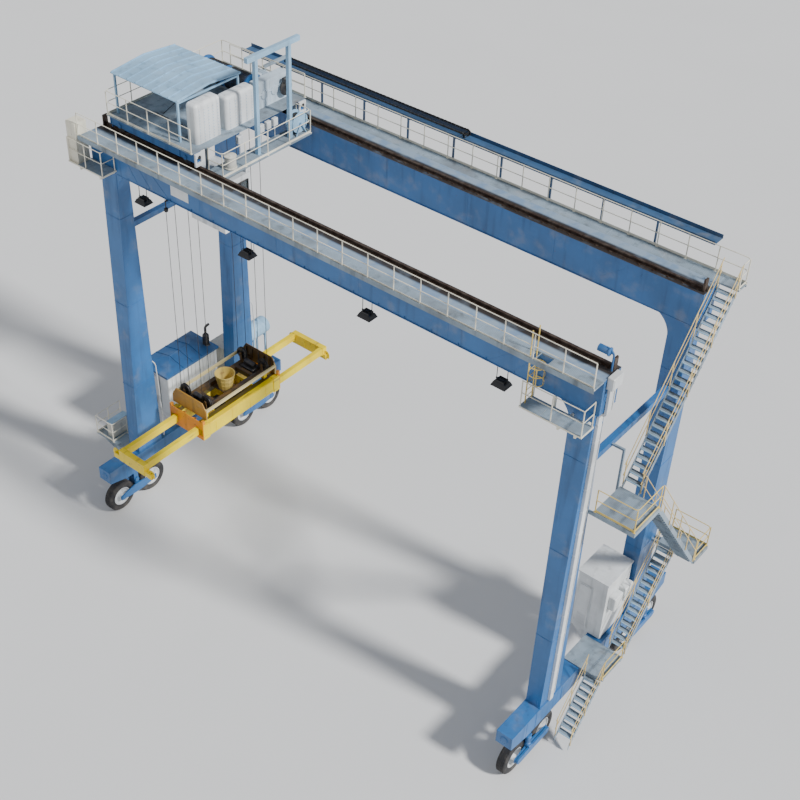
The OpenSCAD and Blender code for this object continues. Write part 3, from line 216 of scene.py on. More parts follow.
class Piece:
    """Collects surfaces worked out as arrays, and becomes one mesh object. Its points are
    given from the portal's middle, or from the trolley's for what rides with it."""

    def __init__(self, body="portal"):
        self.body = body
        self.middle = X * (0 if body == "portal" else TROLLEY_X)
        self.points = []
        self.faces = []
        self.total = 0

    def copies(self, points, *faces):
        """Adds point sets (copy, point, xyz), each with the same faces."""
        points = np.asarray(points, float)
        count, size = points.shape[:2]
        shift = self.total + size * np.arange(count)[:, None, None]
        for group in faces:
            self.faces.extend((group[None] + shift).reshape(-1, group.shape[1]).tolist())
        self.points.append(points.reshape(-1, 3) + self.middle)
        self.total += count * size

    def sheet(self, points, wrap=(False, False), caps=False):
        """Quads between the neighbours in grids of points [..., i, j, xyz]. A wrapped
        direction closes on itself, and caps are flat ends over the first and last row."""
        points = np.asarray(points, float)
        rows, columns = points.shape[-3:-1]
        i = np.arange(rows if wrap[0] else rows - 1)[:, None]
        j = np.arange(columns if wrap[1] else columns - 1)[None]
        i2 = (i + 1) % rows
        j2 = (j + 1) % columns
        corners = [i * columns + j, i * columns + j2, i2 * columns + j2, i2 * columns + j]
        faces = [np.stack(np.broadcast_arrays(*corners), -1).reshape(-1, 4)]
        if caps:
            lid = np.arange(columns)
            faces.append(np.stack([lid[::-1], (rows - 1) * columns + lid]))
        self.copies(points.reshape(-1, rows * columns, 3), *faces)
        return self

    def loft(self, rings):
        """Closed rings [..., station, point, xyz] skinned one to the next, with flat ends."""
        return self.sheet(rings, wrap=(False, True), caps=True)

    def along(self, path, profile, up=Z):
        """A bar of a flat profile along a path."""
        return self.loft(carry(path, profile, up))

    def tube(self, path, diameter, sides=10, up=Z):
        """A round bar along a path."""
        return self.along(path, circle(diameter / 2, sides), up)

    def bars(self, starts, ends, diameter, sides=8):
        """Straight round bars, all at once: a circle at each end of each bar."""
        starts, ends = np.broadcast_arrays(np.asarray(starts, float), np.asarray(ends, float))
        starts, ends = starts.reshape(-1, 3), ends.reshape(-1, 3)
        tangent = unit(ends - starts)
        up = np.where(np.abs(tangent[:, 2:]) > 0.9, X, Z)
        side = unit(np.cross(up, tangent))
        lift = np.cross(tangent, side)
        ring = circle(diameter / 2, sides)
        spokes = side[:, None] * ring[:, :1] + lift[:, None] * ring[:, 1:]
        return self.loft(np.stack([starts[:, None] + spokes, ends[:, None] + spokes], 1))

    def blocks(self, lows, highs, edge):
        """Bars and plates with cut edges: eight-sided rings at the full size, and
        smaller ones by the edge at both ends."""
        lows, highs = np.broadcast_arrays(np.asarray(lows, float), np.asarray(highs, float))
        lows, highs = lows.reshape(-1, 1, 1, 3), highs.reshape(-1, 1, 1, 3)
        lows, highs = np.minimum(lows, highs), np.maximum(lows, highs)
        middle, half = (lows + highs) / 2, (highs - lows) / 2
        edge = np.minimum(edge, half.min(-1, keepdims=True) * 0.45)
        sign = np.array([[1, -1], [1, 1], [1, 1], [-1, 1], [-1, 1], [-1, -1], [-1, -1], [1, -1]])
        cut = np.array([[0, 1], [0, 1], [1, 0], [1, 0], [0, 1], [0, 1], [1, 0], [1, 0]])
        inset = np.array([1.0, 0.0, 0.0, 1.0])[:, None, None]
        flat = sign * (half[..., :2] - edge * (cut + inset * (1 - 0.6 * cut)))
        height = np.array([-1, -1, 1, 1])[:, None, None] * half[..., 2:]
        height = height + np.array([0, 1, -1, 0])[:, None, None] * edge
        height = np.broadcast_to(height, flat.shape[:-1] + (1,))
        return self.loft(middle + np.concatenate([flat, height], -1))

    def slabs(self, places, half_x, half_y, low, high, edge):
        """Blocks centred on places, from one height to another above them."""
        return self.blocks(places - at(half_x, half_y, -low), places + at(half_x, half_y, high), edge)

    def bolts(self, places, axis, width, height=0.022, sides=6):
        """Bolt heads: a six-sided ring with a smaller one on top, at each place."""
        head = at((1.0, 0.0), (1.0, 0.8), (0.8, 1.0)) * [width / 2, height]
        return self.turned(head, places, axis, sides)

    def turned(self, profile, centre, axis, sides=32, closed=False):
        """A profile of (radius, distance along the axis) turned round the axis."""
        axis = unit(axis)
        side = unit(np.cross(axis, X if abs(axis[0]) < 0.9 else Y))
        lift = np.cross(axis, side)
        profile = np.asarray(profile, float)
        ring = circle(1, sides)
        spokes = side * ring[:, :1] + lift * ring[:, 1:]
        shape = spokes * profile[:, None, :1] + axis * profile[:, None, 1:]
        points = np.reshape(centre, (-1, 1, 1, 3)) + shape
        return self.sheet(points, wrap=(closed, True), caps=not closed)

    def finish(self, name, slot, replaces=(), smooth=35, look=None):
        """The mesh object, with outward faces, riding on its body in its slot's finish."""
        mesh = bpy.data.meshes.new(name)
        mesh.from_pydata(np.concatenate(self.points).tolist(), [], self.faces)
        shell = bmesh.new()
        shell.from_mesh(mesh)
        bmesh.ops.recalc_face_normals(shell, faces=shell.faces)
        shell.to_mesh(mesh)
        shell.free()
        made = bpy.data.objects.new(name, mesh)
        bpy.context.scene.collection.objects.link(made)
        mesh.shade_smooth()
        mesh.set_sharp_from_angle(angle=math.radians(smooth))
        mesh.materials.append(FINISHES[look or slot])
        if self.body:
            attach(made, self.body)
        if replaces:
            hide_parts(*replaces)
        return made


def pieces(count, body="portal"):
    """Several new pieces, to be filled side by side."""
    return [Piece(body) for _ in range(count)]


# Shader maths


def connect(tree, value, port):
    """Puts a wire or a plain value on a socket."""
    if isinstance(value, Wire):
        tree.links.new(value.socket, port)
    else:
        port.default_value = value


class Wire:
    """An output socket. Sums and products of wires add Math nodes."""

    def __init__(self, tree, socket):
        self.tree = tree
        self.socket = socket

    def math(self, operation, *values):
        """One Math node on wires and plain values."""
        node = self.tree.nodes.new("ShaderNodeMath")
        node.operation = operation
        for port, value in zip(node.inputs, values):
            connect(self.tree, value, port)
        return Wire(self.tree, node.outputs[0])

    def __add__(self, other):
        return self.math("ADD", self, other)

    def __sub__(self, other):
        return self.math("SUBTRACT", self, other)

    def __rsub__(self, other):
        return self.math("SUBTRACT", other, self)

    def __mul__(self, other):
        return self.math("MULTIPLY", self, other)

    def __truediv__(self, other):
        return self.math("DIVIDE", self, other)

    __radd__ = __add__
    __rmul__ = __mul__

    def size(self):
        """The value without its sign."""
        return self.math("ABSOLUTE", self)

    def within(self, pitch):
        """Where the value lies within each pitch, from 0 to 1."""
        return self.math("FRACT", self / pitch)

    def ramp(self, low, high):
        """0 below low, 1 above high, smooth in between."""
        node = self.tree.nodes.new("ShaderNodeMapRange")
        node.interpolation_type = "SMOOTHSTEP"
        for name, value in (("Value", self), ("From Min", low), ("From Max", high)):
            connect(self.tree, value, node.inputs[name])
        return Wire(self.tree, node.outputs[0])


class Finish:
    """A material under construction, patterned on the piece's own coordinates."""

    def __init__(self, name, **values):
        self.material = bpy.data.materials.new(name)
        self.material.use_nodes = True
        self.tree = self.material.node_tree
        self.shader = self.tree.nodes["Principled BSDF"]
        self.place = self.node("ShaderNodeTexCoord", output="Object")
        split = self.tree.nodes.new("ShaderNodeSeparateXYZ")
        connect(self.tree, self.place, split.inputs[0])
        self.x, self.y, self.z = (Wire(self.tree, out) for out in split.outputs)
        for name, value in values.items():
            self.shader.inputs[name.replace("_", " ").title()].default_value = value

    def node(self, kind, settings=None, sockets=None, output=0):
        """One node of a type, with its settings first and then its sockets."""
        made = self.tree.nodes.new(kind)
        for name, value in (settings or {}).items():
            setattr(made, name, value)
        for name, value in (sockets or {}).items():
            connect(self.tree, value, made.inputs[name])
        return Wire(self.tree, made.outputs[output])

    def noise(self, scale, detail=4, stretch=(1, 1, 1)):
        """Cloudy noise, at a scale per metre, stretched along the axes."""
        place = self.node(
            "ShaderNodeVectorMath", {"operation": "MULTIPLY"}, {0: self.place, 1: stretch}
        )
        return self.node(
            "ShaderNodeTexNoise", None, {"Vector": place, "Scale": scale, "Detail": detail}
        )

    def mix(self, factor, first, second):
        """A colour between two, by a factor."""
        colours = [(*c, 1) if isinstance(c, tuple) and len(c) == 3 else c for c in (first, second)]
        return self.node(
            "ShaderNodeMix", {"data_type": "RGBA"}, {0: factor, 6: colours[0], 7: colours[1]}, 2
        )

    def bump(self, height, distance, strength=1.0):
        """Relief of a height in metres."""
        relief = self.node(
            "ShaderNodeBump", None, {"Height": height, "Distance": distance, "Strength": strength}
        )
        connect(self.tree, relief, self.shader.inputs["Normal"])

    def set(self, **sockets):
        """Puts wires or values on the shader, and gives the material."""
        for name, value in sockets.items():
            connect(self.tree, value, self.shader.inputs[name.replace("_", " ").title()])
        return self.material


# Finishes


def tone(colour, share):
    """A colour made lighter above 1 and darker below."""
    return tuple(min(1.0, part * share) for part in colour)


SOOT = (0.035, 0.032, 0.03)
RUST = (0.16, 0.055, 0.02)
DUST = (0.42, 0.38, 0.32)
# Near-black: grease on the girders' top, and painted shade under and inside the spreader's head block
GREASE_AND_SHADE = (0.028, 0.021, 0.017)
FINISHES = {}


def weathered(name, colour, rough, dirt, chips, extra=None):
    """Brushed paint on steel: clouded colour, rain streaks, dust and small rust chips."""
    finish = Finish(name)
    cloud = finish.noise(0.5, 5)
    fade = finish.noise(3.0, 3)
    streaks = finish.noise(3.2, 5, (1, 1, 0.1)).ramp(0.5, 0.78)
    stains = finish.noise(1.3, 7).ramp(0.52, 0.8)
    chipped = finish.noise(7.0, 8).ramp(0.695, 0.72) * chips
    base = finish.mix(cloud.ramp(0.3, 0.7), tone(colour, 0.86), tone(colour, 1.14))
    base = finish.mix(fade.ramp(0.55, 0.8) * 0.25, base, tone(colour, 1.45))
    base = finish.mix(streaks * dirt, base, SOOT)
    base = finish.mix(stains * dirt * 0.7, base, DUST)
    base = finish.mix(chipped, base, RUST)
    if extra:
        base = extra(finish, base)
    grain = finish.noise(60.0, 3)
    height = grain * 0.25 + fade * 0.5 - chipped * 0.6
    finish.bump(height, 0.002, 0.5)
    roughness = cloud * 0.18 + streaks * 0.2 + chipped * 0.3 + (rough - 0.09)
    FINISHES[name] = finish.set(base_color=base, roughness=roughness)


def greased_top(finish, base):
    """Oily dirt on the girders' top, beside the rails and out to the walkway's middle."""
    on_top = finish.z.ramp(GIRDER_TOP - 0.02, GIRDER_TOP - 0.005)
    on_top = on_top * (1 - finish.z.ramp(GIRDER_TOP + 0.01, GIRDER_TOP + 0.03))
    inner = 1 - finish.y.size().ramp(WEB_OUTER - 0.45, WEB_OUTER - 0.3)
    patchy = finish.noise(1.6, 6).ramp(0.3, 0.5)
    worn = finish.noise(2.2, 5).ramp(0.35, 0.6)
    base = finish.mix(on_top * (worn * 0.3 + 0.6), base, (0.30, 0.38, 0.45))
    return finish.mix(on_top * inner * (patchy * 0.2 + 0.78), base, GREASE_AND_SHADE)


def grating_lines(finish, base):
    """Steel grating: a dark line between the bars, and grime where feet carry it."""
    bars = finish.x.within(0.05).ramp(0.55, 0.8)
    trodden = finish.noise(0.9, 6).ramp(0.45, 0.7)
    base = finish.mix(bars * 0.28, base, SOOT)
    return finish.mix(trodden * 0.45, base, (0.10, 0.095, 0.09))


def scraped(finish, base):
    """Scrapes along the piece, down to primer and rust."""
    along = finish.noise(5.0, 6, (1, 0.12, 1)).ramp(0.6, 0.68)
    return finish.mix(along * 0.5, base, (0.22, 0.12, 0.05))


def spreader_wear_and_shade(finish, base):
    """Scrapes, and near-black on top of the main frame's inner beams under the head block: painted shade
    there, together with grease.
    """
    base = scraped(finish, base)
    # Painted shade: near-black on the top of the inner beams, which lie under the head block
    inner = 1 - (finish.x - TROLLEY_X).size().ramp(FAR_ARM_X - 0.13, FAR_ARM_X - 0.10)
    on_top = finish.z.ramp(TUBE_TOP - 0.02, TUBE_TOP - 0.005)
    on_top = on_top * (1 - finish.z.ramp(TUBE_TOP + 0.05, TUBE_TOP + 0.06))
    return finish.mix(inner * on_top * 0.9, base, GREASE_AND_SHADE)


def head_wear_and_shade(finish, base):
    """Near-black all over the head block between its shields, painted shade of its inside together with
    grease, but not on the side bars.
    """
    base = scraped(finish, base)
    # Painted shade: near-black inside the head block, everywhere between the shields' outer faces
    between = 1 - finish.y.size().ramp(HEAD_HALF - 0.045, HEAD_HALF - 0.03)
    patchy = finish.noise(2.0, 5).ramp(0.3, 0.6)
    base = finish.mix(between * (patchy * 0.25 + 0.7), base, GREASE_AND_SHADE)
    bar = (finish.x - TROLLEY_X).size().ramp(1.02, 1.03) * between
    return finish.mix(bar * 0.85, base, (0.74, 0.62, 0.30))


def plain_metal(name, colour, rough, metallic, wear):
    """Bare or greasy metal with patches of wear."""
    finish = Finish(name)
    patches = finish.noise(4.0, 6)
    base = finish.mix(patches.ramp(0.35, 0.7), colour, wear)
    fine = finish.noise(90.0, 2)
    finish.bump(fine * 0.4 + patches, 0.001, 0.4)
    FINISHES[name] = finish.set(
        base_color=base, roughness=patches * 0.2 + (rough - 0.1), metallic=metallic
    )


def rubber(name):
    """Tyre rubber: dark, with dust in the grooves and low on the walls."""
    finish = Finish(name)
    dusty = finish.noise(2.5, 6).ramp(0.4, 0.75)
    low = 1 - finish.z.ramp(0.02, 0.5)
    base = finish.mix(dusty * 0.35 + low * 0.25, (0.022, 0.022, 0.024), (0.20, 0.18, 0.155))
    finish.bump(finish.noise(70.0, 3), 0.002, 0.5)
    FINISHES[name] = finish.set(base_color=base, roughness=dusty * 0.15 + 0.72)


def window_glass(name):
    """Tinted glass with a dusty film."""
    finish = Finish(name, metallic=0.0, coat_weight=0.6, alpha=0.6)
    film = finish.noise(1.8, 5).ramp(0.45, 0.75)
    base = finish.mix(film * 0.35, (0.03, 0.05, 0.06), (0.35, 0.36, 0.36))
    FINISHES[name] = finish.set(base_color=base, roughness=film * 0.2 + 0.06)


def lens_glass():
    """Pale ribbed glass of a lamp."""
    finish = Finish("lens_glass", coat_weight=0.8)
    ribs = finish.x.within(0.03)
    finish.bump(ribs.ramp(0.2, 0.8), 0.004, 0.6)
    base = finish.mix(ribs.ramp(0.3, 0.7), (0.62, 0.64, 0.62), (0.75, 0.77, 0.74))
    FINISHES["lens_glass"] = finish.set(base_color=base, roughness=0.14)


def floor_finish():
    """Pale, even floor with a faint cloud in it."""
    finish = Finish("pale_floor")
    cloud = finish.noise(0.12, 3)
    return finish.set(
        base_color=finish.mix(cloud, (0.70, 0.70, 0.69), (0.74, 0.74, 0.73)),
        roughness=0.9,
    )


def make_finishes(colours):
    """Every slot's material, from the colours in the sidebar."""
    blue = tuple(colours.crane_blue)
    pale = tuple(colours.pale_blue)
    white = tuple(colours.house_white)
    cream = tuple(colours.railing_cream)
    yellow = tuple(colours.spreader_yellow)
    painted = (
        ("blue_paint", blue, 0.42, 0.35, 0.25, greased_top),
        ("walkway_steel", tuple(colours.walkway_grey), 0.6, 0.5, 0.2, grating_lines),
        ("handrail_paint", cream, 0.45, 0.25, 0.5),
        ("ladder_paint", tuple(colours.ladder_yellow), 0.45, 0.3, 0.5),
        ("tray_steel", (0.045, 0.11, 0.22), 0.45, 0.4, 0.2),
        ("white_paint", white, 0.4, 0.3, 0.2),
        ("rim_paint", white, 0.45, 0.6, 0.4),
        ("roof_paint", tone(blue, 0.7), 0.45, 0.25, 0.2),
        ("light_blue_paint", pale, 0.4, 0.3, 0.2),
        ("cabinet_paint", (0.64, 0.63, 0.56), 0.45, 0.35, 0.3),
        ("machine_paint", (0.52, 0.62, 0.70), 0.4, 0.35, 0.2),
        ("drum_steel", tone(blue, 0.9), 0.4, 0.5, 0.3),
        # The head block's ochre is the spreader's yellow, darkened as painted shade and dirtied
        ("ochre_paint", (0.40, 0.20, 0.02), 0.5, 0.6, 0.6, head_wear_and_shade),
        ("spreader_paint", yellow, 0.36, 0.12, 0.15, spreader_wear_and_shade),
        ("stair_rail_paint", (0.74, 0.56, 0.24), 0.45, 0.25, 0.5),
        ("basket_paint", (0.62, 0.46, 0.12), 0.45, 0.6, 0.5, scraped),
        # The end plates' orange is the spreader's yellow, darkened and reddened as painted shade
        ("orange_paint", (0.75, 0.27, 0.005), 0.4, 0.25, 0.3, scraped),
        ("lamp_housing", (0.014, 0.014, 0.016), 0.5, 0.2, 0.0),
    )
    for paint in painted:
        weathered(*paint)
    plain_metal("rail_steel", (0.055, 0.032, 0.022), 0.5, 0.5, (0.12, 0.09, 0.07))
    plain_metal("wheel_steel", (0.05, 0.05, 0.055), 0.45, 0.7, (0.11, 0.10, 0.09))
    plain_metal("rope_steel", (0.035, 0.034, 0.034), 0.5, 0.7, (0.07, 0.065, 0.06))
    plain_metal("chain_plastic", (0.012, 0.012, 0.013), 0.55, 0.0, (0.03, 0.03, 0.03))
    rubber("tyre_rubber")
    window_glass("window_glass")
    lens_glass()


# Settings


def length_property(name, description, default):
    """A setting in metres."""
    return FloatProperty(
        name=name, description=description, default=default, subtype="DISTANCE", unit="LENGTH"
    )


def colour_property(name, description, default):
    """A setting that is a colour."""
    return FloatVectorProperty(
        name=name, description=description, default=default, subtype="COLOR", min=0, max=1
    )


class CraneSizes(bpy.types.PropertyGroup):
    """Sizes that a user would change."""

    bar: length_property("Railing bar", "Diameter of the railings' bars", 0.036)
    post: length_property("Railing post", "Diameter of the railings' posts", 0.046)
    post_pitch: length_property("Post pitch", "Distance between railing posts", 1.2)
    rope: length_property("Hoist rope", "Diameter of the hoist ropes", 0.026)
    bolt: length_property("Bolt head", "Width of the large bolt heads", 0.05)
    tread_blocks: IntProperty(name="Tread blocks", description="Blocks round a tyre", default=34)
    lens: FloatProperty(name="Lens", description="Focal length of the camera, mm", default=60.5)


class CraneColours(bpy.types.PropertyGroup):
    """Colours that a user would change."""

    crane_blue: colour_property("Crane blue", "Girders, legs and sills", (0.032, 0.145, 0.37))
    pale_blue: colour_property("Pale blue", "Roof, tank and posts", (0.30, 0.50, 0.68))
    house_white: colour_property("House white", "Houses, cabinets and cab", (0.72, 0.74, 0.74))
    railing_cream: colour_property("Railing cream", "Handrails", (0.80, 0.76, 0.62))
    ladder_yellow: colour_property("Ladder yellow", "Ladders", (0.80, 0.58, 0.14))
    walkway_grey: colour_property("Walkway grey", "Walkways and treads", (0.28, 0.36, 0.43))
    spreader_yellow: colour_property("Spreader yellow", "Spreader", (0.94, 0.67, 0.0))


# Railings


def railing(piece, level, places, sizes, pitch=None):
    """Posts on base plates under a top bar and a knee bar, at a floor's edge. The bars are
    a circle carried along the edge, lifted, with rounded corners, and the toe board is a
    flat profile carried along each side."""
    corners = np.insert(places, 2, level, axis=1)
    sides = list(zip(corners[:-1], corners[1:]))
    for lift in (RAILING_HEIGHT - sizes.bar / 2, RAILING_HEIGHT * 0.52):
        piece.tube(bent(corners + Z * lift, 0.16), sizes.bar)
    feet = []
    for start, end in sides:
        count = max(1, round(np.linalg.norm(end - start) / (pitch or sizes.post_pitch)))
        feet.append(start + (end - start) * (np.arange(count + 1)[:, None] / count))
    feet = np.unique(np.round(np.concatenate(feet), 4), axis=0)
    posts = np.clip(feet, corners.min(0), corners.max(0))
    piece.bars(posts, posts + Z * (RAILING_HEIGHT - sizes.bar), sizes.post, 10)
    piece.slabs(feet, 0.055, 0.036, 0, 0.012, 0.003)
    for side in sides:
        piece.along(side, strip(-0.003, 0.003, 0.015, 0.115))


STAIR_IN = HALF_GIRDER + 0.05
STAIR_W = 0.7
STAIR_OUT = STAIR_IN + STAIR_W + 0.2
LANDING_X = (STAIR_IN - 0.06, STAIR_OUT + STAIR_W + 0.06)
UPPER_LANDING = 13.3
LOWER_LANDING = 6.9
SILL_LANDING = SILL_TOP + 0.06
# Each flight's inner side, and its foot and head in Y and Z, from the top one down
FLIGHTS = (
    (STAIR_IN, (-1.15, UPPER_LANDING), (WEB_OUTER + LIP, GIRDER_TOP)),
    (STAIR_OUT, (3.5, LOWER_LANDING), (-1.15, UPPER_LANDING)),
    (STAIR_IN, (0.45, SILL_LANDING), (3.5, LOWER_LANDING)),
    (STAIR_IN, (-3.1, 0.42), (-1.2, SILL_LANDING)),
)


def walkway_railings(sizes):
    """Along both walkways, round the sill's platform and at the stair's landings."""
    end = HALF_GIRDER - 0.04
    reach = LANDING_X[0] + 0.78
    near, far, sill, landings = pieces(4)
    railing(near, GIRDER_TOP, [(-end, -RAIL_LINE), (end, -RAIL_LINE)], sizes)
    near.finish("near_railing", "handrail_paint", ["near_handrail"])
    railing(far, GIRDER_TOP, [(-end, RAIL_LINE), (reach, RAIL_LINE), (reach, WEB_OUTER + 0.1)], sizes)
    far.finish("far_railing", "handrail_paint", ["far_handrail"])
    platform = [(-14.06, -2.79), (-14.06, -4.31), (-12.9, -4.31), (-12.9, -3.4)]
    railing(sill, SILL_LANDING, platform, sizes, 0.8)
    sill.finish("sill_railing", "handrail_paint", ["sill_handrails"])
    left, right = LANDING_X[0] + 0.04, LANDING_X[1] - 0.06
    edge = STAIR_IN + STAIR_W + 0.02
    railing(landings, UPPER_LANDING, [(left, -2.91), (right, -2.91), (right, -1.21)], sizes)
    railing(landings, LOWER_LANDING, [(left, 4.61), (right, 4.61), (right, 3.56)], sizes)
    railing(landings, SILL_LANDING, [(edge, -1.14), (edge, 0.39)], sizes)
    landings.finish("landing_railing", "ladder_paint", ["landing_handrails"])


def stair_railings(sizes):
    """Bars parallel to the flight on both sides, and posts bolted to its stringers."""
    piece = Piece()
    top = RAILING_HEIGHT - 0.02
    for inner, foot, head in FLIGHTS:
        rise = head[1] - foot[1]
        drop = 0.06 * rise / abs(head[0] - foot[0]) + 0.02
        bays = max(2, round(rise / 1.7))
        share = (np.arange(bays + 1)[:, None] + 0.1) / (bays + 0.2)
        for out, x in ((-1, inner - sizes.post / 2), (1, inner + STAIR_W + sizes.post / 2)):
            line = at((x, *foot), (x, *head))
            feet = line[0] + (line[1] - line[0]) * share
            piece.bars(feet - Z * 0.12, feet + Z * top, sizes.post, 10)
            for lift in (RAILING_HEIGHT * 0.5, top):
                piece.tube(line + Z * lift, sizes.bar)
            piece.bolts(feet - Z * drop, X * out, 0.03, 0.035)
    piece.finish("stair_railing", "handrail_paint", ["stair_handrails"], look="stair_rail_paint")


def trolley_railings(sizes):
    """Round the trolley's deck and the lower deck at its side."""
    piece = Piece("trolley")
    x, y = 2.41, 3.28
    railing(piece, DECK_Z, [(x, -y), (-x, -y), (-x, y), (x, y)], sizes)
    (low, high), y = SIDE_DECK, 2.56
    railing(piece, SIDE_DECK_Z, [(low, -y), (high, -y), (high, y), (low, y)], sizes)
    piece.finish("trolley_railing", "handrail_paint", ["trolley_handrails"])


class CRANE_OT_railings(bpy.types.Operator):
    """Railings of the walkways, landings, stairs and trolley, as bent tubes"""

    bl_idname = "crane.railings"
    bl_label = "Railings"

    def execute(self, context):
        for make in (walkway_railings, stair_railings, trolley_railings):
            make(context.scene.crane_sizes)
        return {"FINISHED"}


# Wheels


def tread_tyre(blocks):
    """Around the axle by angle and across the section by s. The section is a bulged
    wall and a flat tread, and the tread sinks by 22 mm in two sets of grooves:
    rings round the tyre, and slanted slots that repeat with each block.
    Below the ground the height is set to the ground, and the wall bulges there."""
    per_block = 5
    step = np.arange(blocks * per_block)[:, None]
    angle = step * 2 * math.pi / len(step)
    wall = [(0.48, 0.185), (0.50, 0.205), (0.56, 0.221), (0.64, 0.225)]
    wall += [(0.70, 0.219), (0.745, 0.205), (0.778, 0.182)]
    across = [0.166, 0.136, 0.134, 0.118, 0.116, 0.052, 0.05, 0.034, 0.032]
    half = at(*wall, *[(0.8 - 0.105 * max(0, a - 0.12), a) for a in across])
    section = np.concatenate([half, half[::-1] * [1, -1], [[0.475, -0.17], [0.475, 0.17]]])
    radius, offset = section.T
    reach = np.abs(offset)
    tread = radius > 0.785
    ring = tread & ((np.abs(reach - 0.126) < 0.0095) | (np.abs(reach - 0.042) < 0.0095))
    phase = (step + np.where(offset > 0, 2, 0)) % per_block
    slot = tread & (phase == 0) & (reach > 0.05)
    radius = radius - 0.022 * (ring | slot)
    z = radius * np.cos(angle)
    sunk = np.clip((0.16 - AXLE_Z - z) / 0.16, 0, 1)
    x = offset * (1 + 0.06 * sunk * (radius < 0.77))
    return np.stack([x, radius * np.sin(angle), np.maximum(z, -AXLE_Z)], -1)


def wheel_nuts(centres):
    """Nuts in a circle on both faces of each disc, a lock ring and a dished plate."""
    piece = Piece()
    lock = [(0.452, 0.16), (0.47, 0.172), (0.452, 0.184), (0.44, 0.172)]
    dish = [(0.25, 0.022), (0.36, 0.05), (0.445, 0.13), (0.445, 0.138), (0.35, 0.062), (0.25, 0.03)]
    for side in SIDES:
        piece.bolts(centres[:, None] + around(0.185, 10, 0, side * 0.022), X * side, 0.034, 0.03)
        for profile in (lock, dish):
            piece.turned(profile, centres, X * side, 40, True)
    piece.finish("wheel_nuts", "rim_paint")


class CRANE_OT_tyres(bpy.types.Operator):
    """Tyres with tread blocks, flat where they stand, and the rims' wheel nuts"""

    bl_idname = "crane.tyres"
    bl_label = "Tyres and rims"

    def execute(self, context):
        shape = tread_tyre(context.scene.crane_sizes.tread_blocks)
        centres = grid3((-LEG_X, LEG_X), WHEEL_Y, AXLE_Z)
        tyres = Piece().sheet(shape + centres[:, None, None], (True, True))
        tyres.finish("tread_tyres", "tyre_rubber", ["tyres"], 50)
        wheel_nuts(centres)
        return {"FINISHED"}


def chain_case():
    """Outline round two wheels' sprockets: an arc at each end, in the Y-Z plane."""
    end = arc(np.linspace(-math.pi / 2, math.pi / 2, 9), 0.17, 0)
    return np.concatenate([end + Y * HALF_PITCH, end * [1, -1, -1] - Y * HALF_PITCH])


class CRANE_OT_drives(bpy.types.Operator):
    """Travel motors and chain cases on the bogies"""

    bl_idname = "crane.drives"
    bl_label = "Travel drives"

    def execute(self, context):
        """A motor is a profile turned round Z, with bars at equal angles as its fins."""
        piece = Piece()
        shell = [(0.13, -0.02), (0.13, 0.06), (0.105, 0.08), (0.105, 0.36)]
        shell += [(0.12, 0.38), (0.12, 0.45), (0.07, 0.48)]
        case = chain_case()
        for side_x, side_y in CORNERS:
            hub = at(side_x * (LEG_X + 0.36), side_y * BOGIE_Y, AXLE_Z)
            piece.loft([hub + case, hub + case + X * side_x * 0.09][::side_x])
            base = hub + [-side_x * 0.03, side_y * 0.30, 0.42]
            piece.turned(shell, base, Z, 24)
            fins = base + around(0.108, 16, 2)
            piece.bars(fins + Z * 0.1, fins + Z * 0.34, 0.014, 6)
            piece.slabs(base, 0.17, 0.12, -0.14, -0.01, 0.02)
        piece.finish("travel_drives", "blue_paint")
        return {"FINISHED"}


# Steelwork


def rail_clips(bolt):
    """Clips beside the trolley rails, and stops at the rails' ends."""
    piece = Piece()
    for side, edge in CORNERS:
        foot = grid3(along_girder(0.35, 0.6), side * RAIL_Y + edge * 0.115, GIRDER_TOP)
        piece.slabs(foot, 0.05, 0.035, 0, 0.03, 0.006)
        piece.bolts(foot + Z * 0.03, Z, bolt * 0.8, 0.03)
    stops = grid3((0.12 - HALF_GIRDER, HALF_GIRDER - 0.12), (-RAIL_Y, RAIL_Y), GIRDER_TOP)
    piece.slabs(stops, 0.04, 0.12, 0, 0.5, 0.01)
    piece.finish("rail_clips", "rail_steel")


def doublers(piece, y, out):
    """Three thin plates over one another at each corner, whose slanted ends fan out."""
    bottom, top = WEB_FOOT, GIRDER_TOP - 0.03
    for end in SIDES:
        for step, (foot, head) in enumerate(((7.9, 9.6), (8.9, 10.2), (9.7, 10.7)), 1):
            xs = end * at(foot, HALF_GIRDER, HALF_GIRDER, head)
            ring = np.stack([xs, np.full(4, y), at(bottom, bottom, top, top)], -1)
            piece.loft([ring - Y * out * 0.001, ring + Y * out * 0.007 * step])


def girder_seams(bolt):
    """Web seams, doubler plates, brackets under the walkway and bolted end covers."""
    piece = Piece()
    for side in SIDES:
        for y, out in ((side * WEB_OUTER, side), (side * WEB_INNER, -side)):
            foot = grid3(along_girder(2.2, 4.1), y, WEB_FOOT)
            piece.bars(foot, foot + Z * 1.42, 0.014, 6)
            doublers(piece, y, out)
        foot = grid3(along_girder(1.0, 1.2), side * (WEB_OUTER + 0.002), WEB_FOOT)
        piece.slabs(foot, 0.006, 0.03, 0, 0.10, 0.002)
        for end in SIDES:
            face = at(end * HALF_GIRDER, side * GIRDER_Y, (GIRDER_TOP + GIRDER_BOTTOM) / 2)
            piece.turned([(0.36, -0.005), (0.36, 0.012), (0.34, 0.016)], face, X * end)
            piece.bolts(face + around(0.31, 14, 0, end * 0.016), X * end, bolt * 0.7)
    piece.finish("girder_seams", "blue_paint")


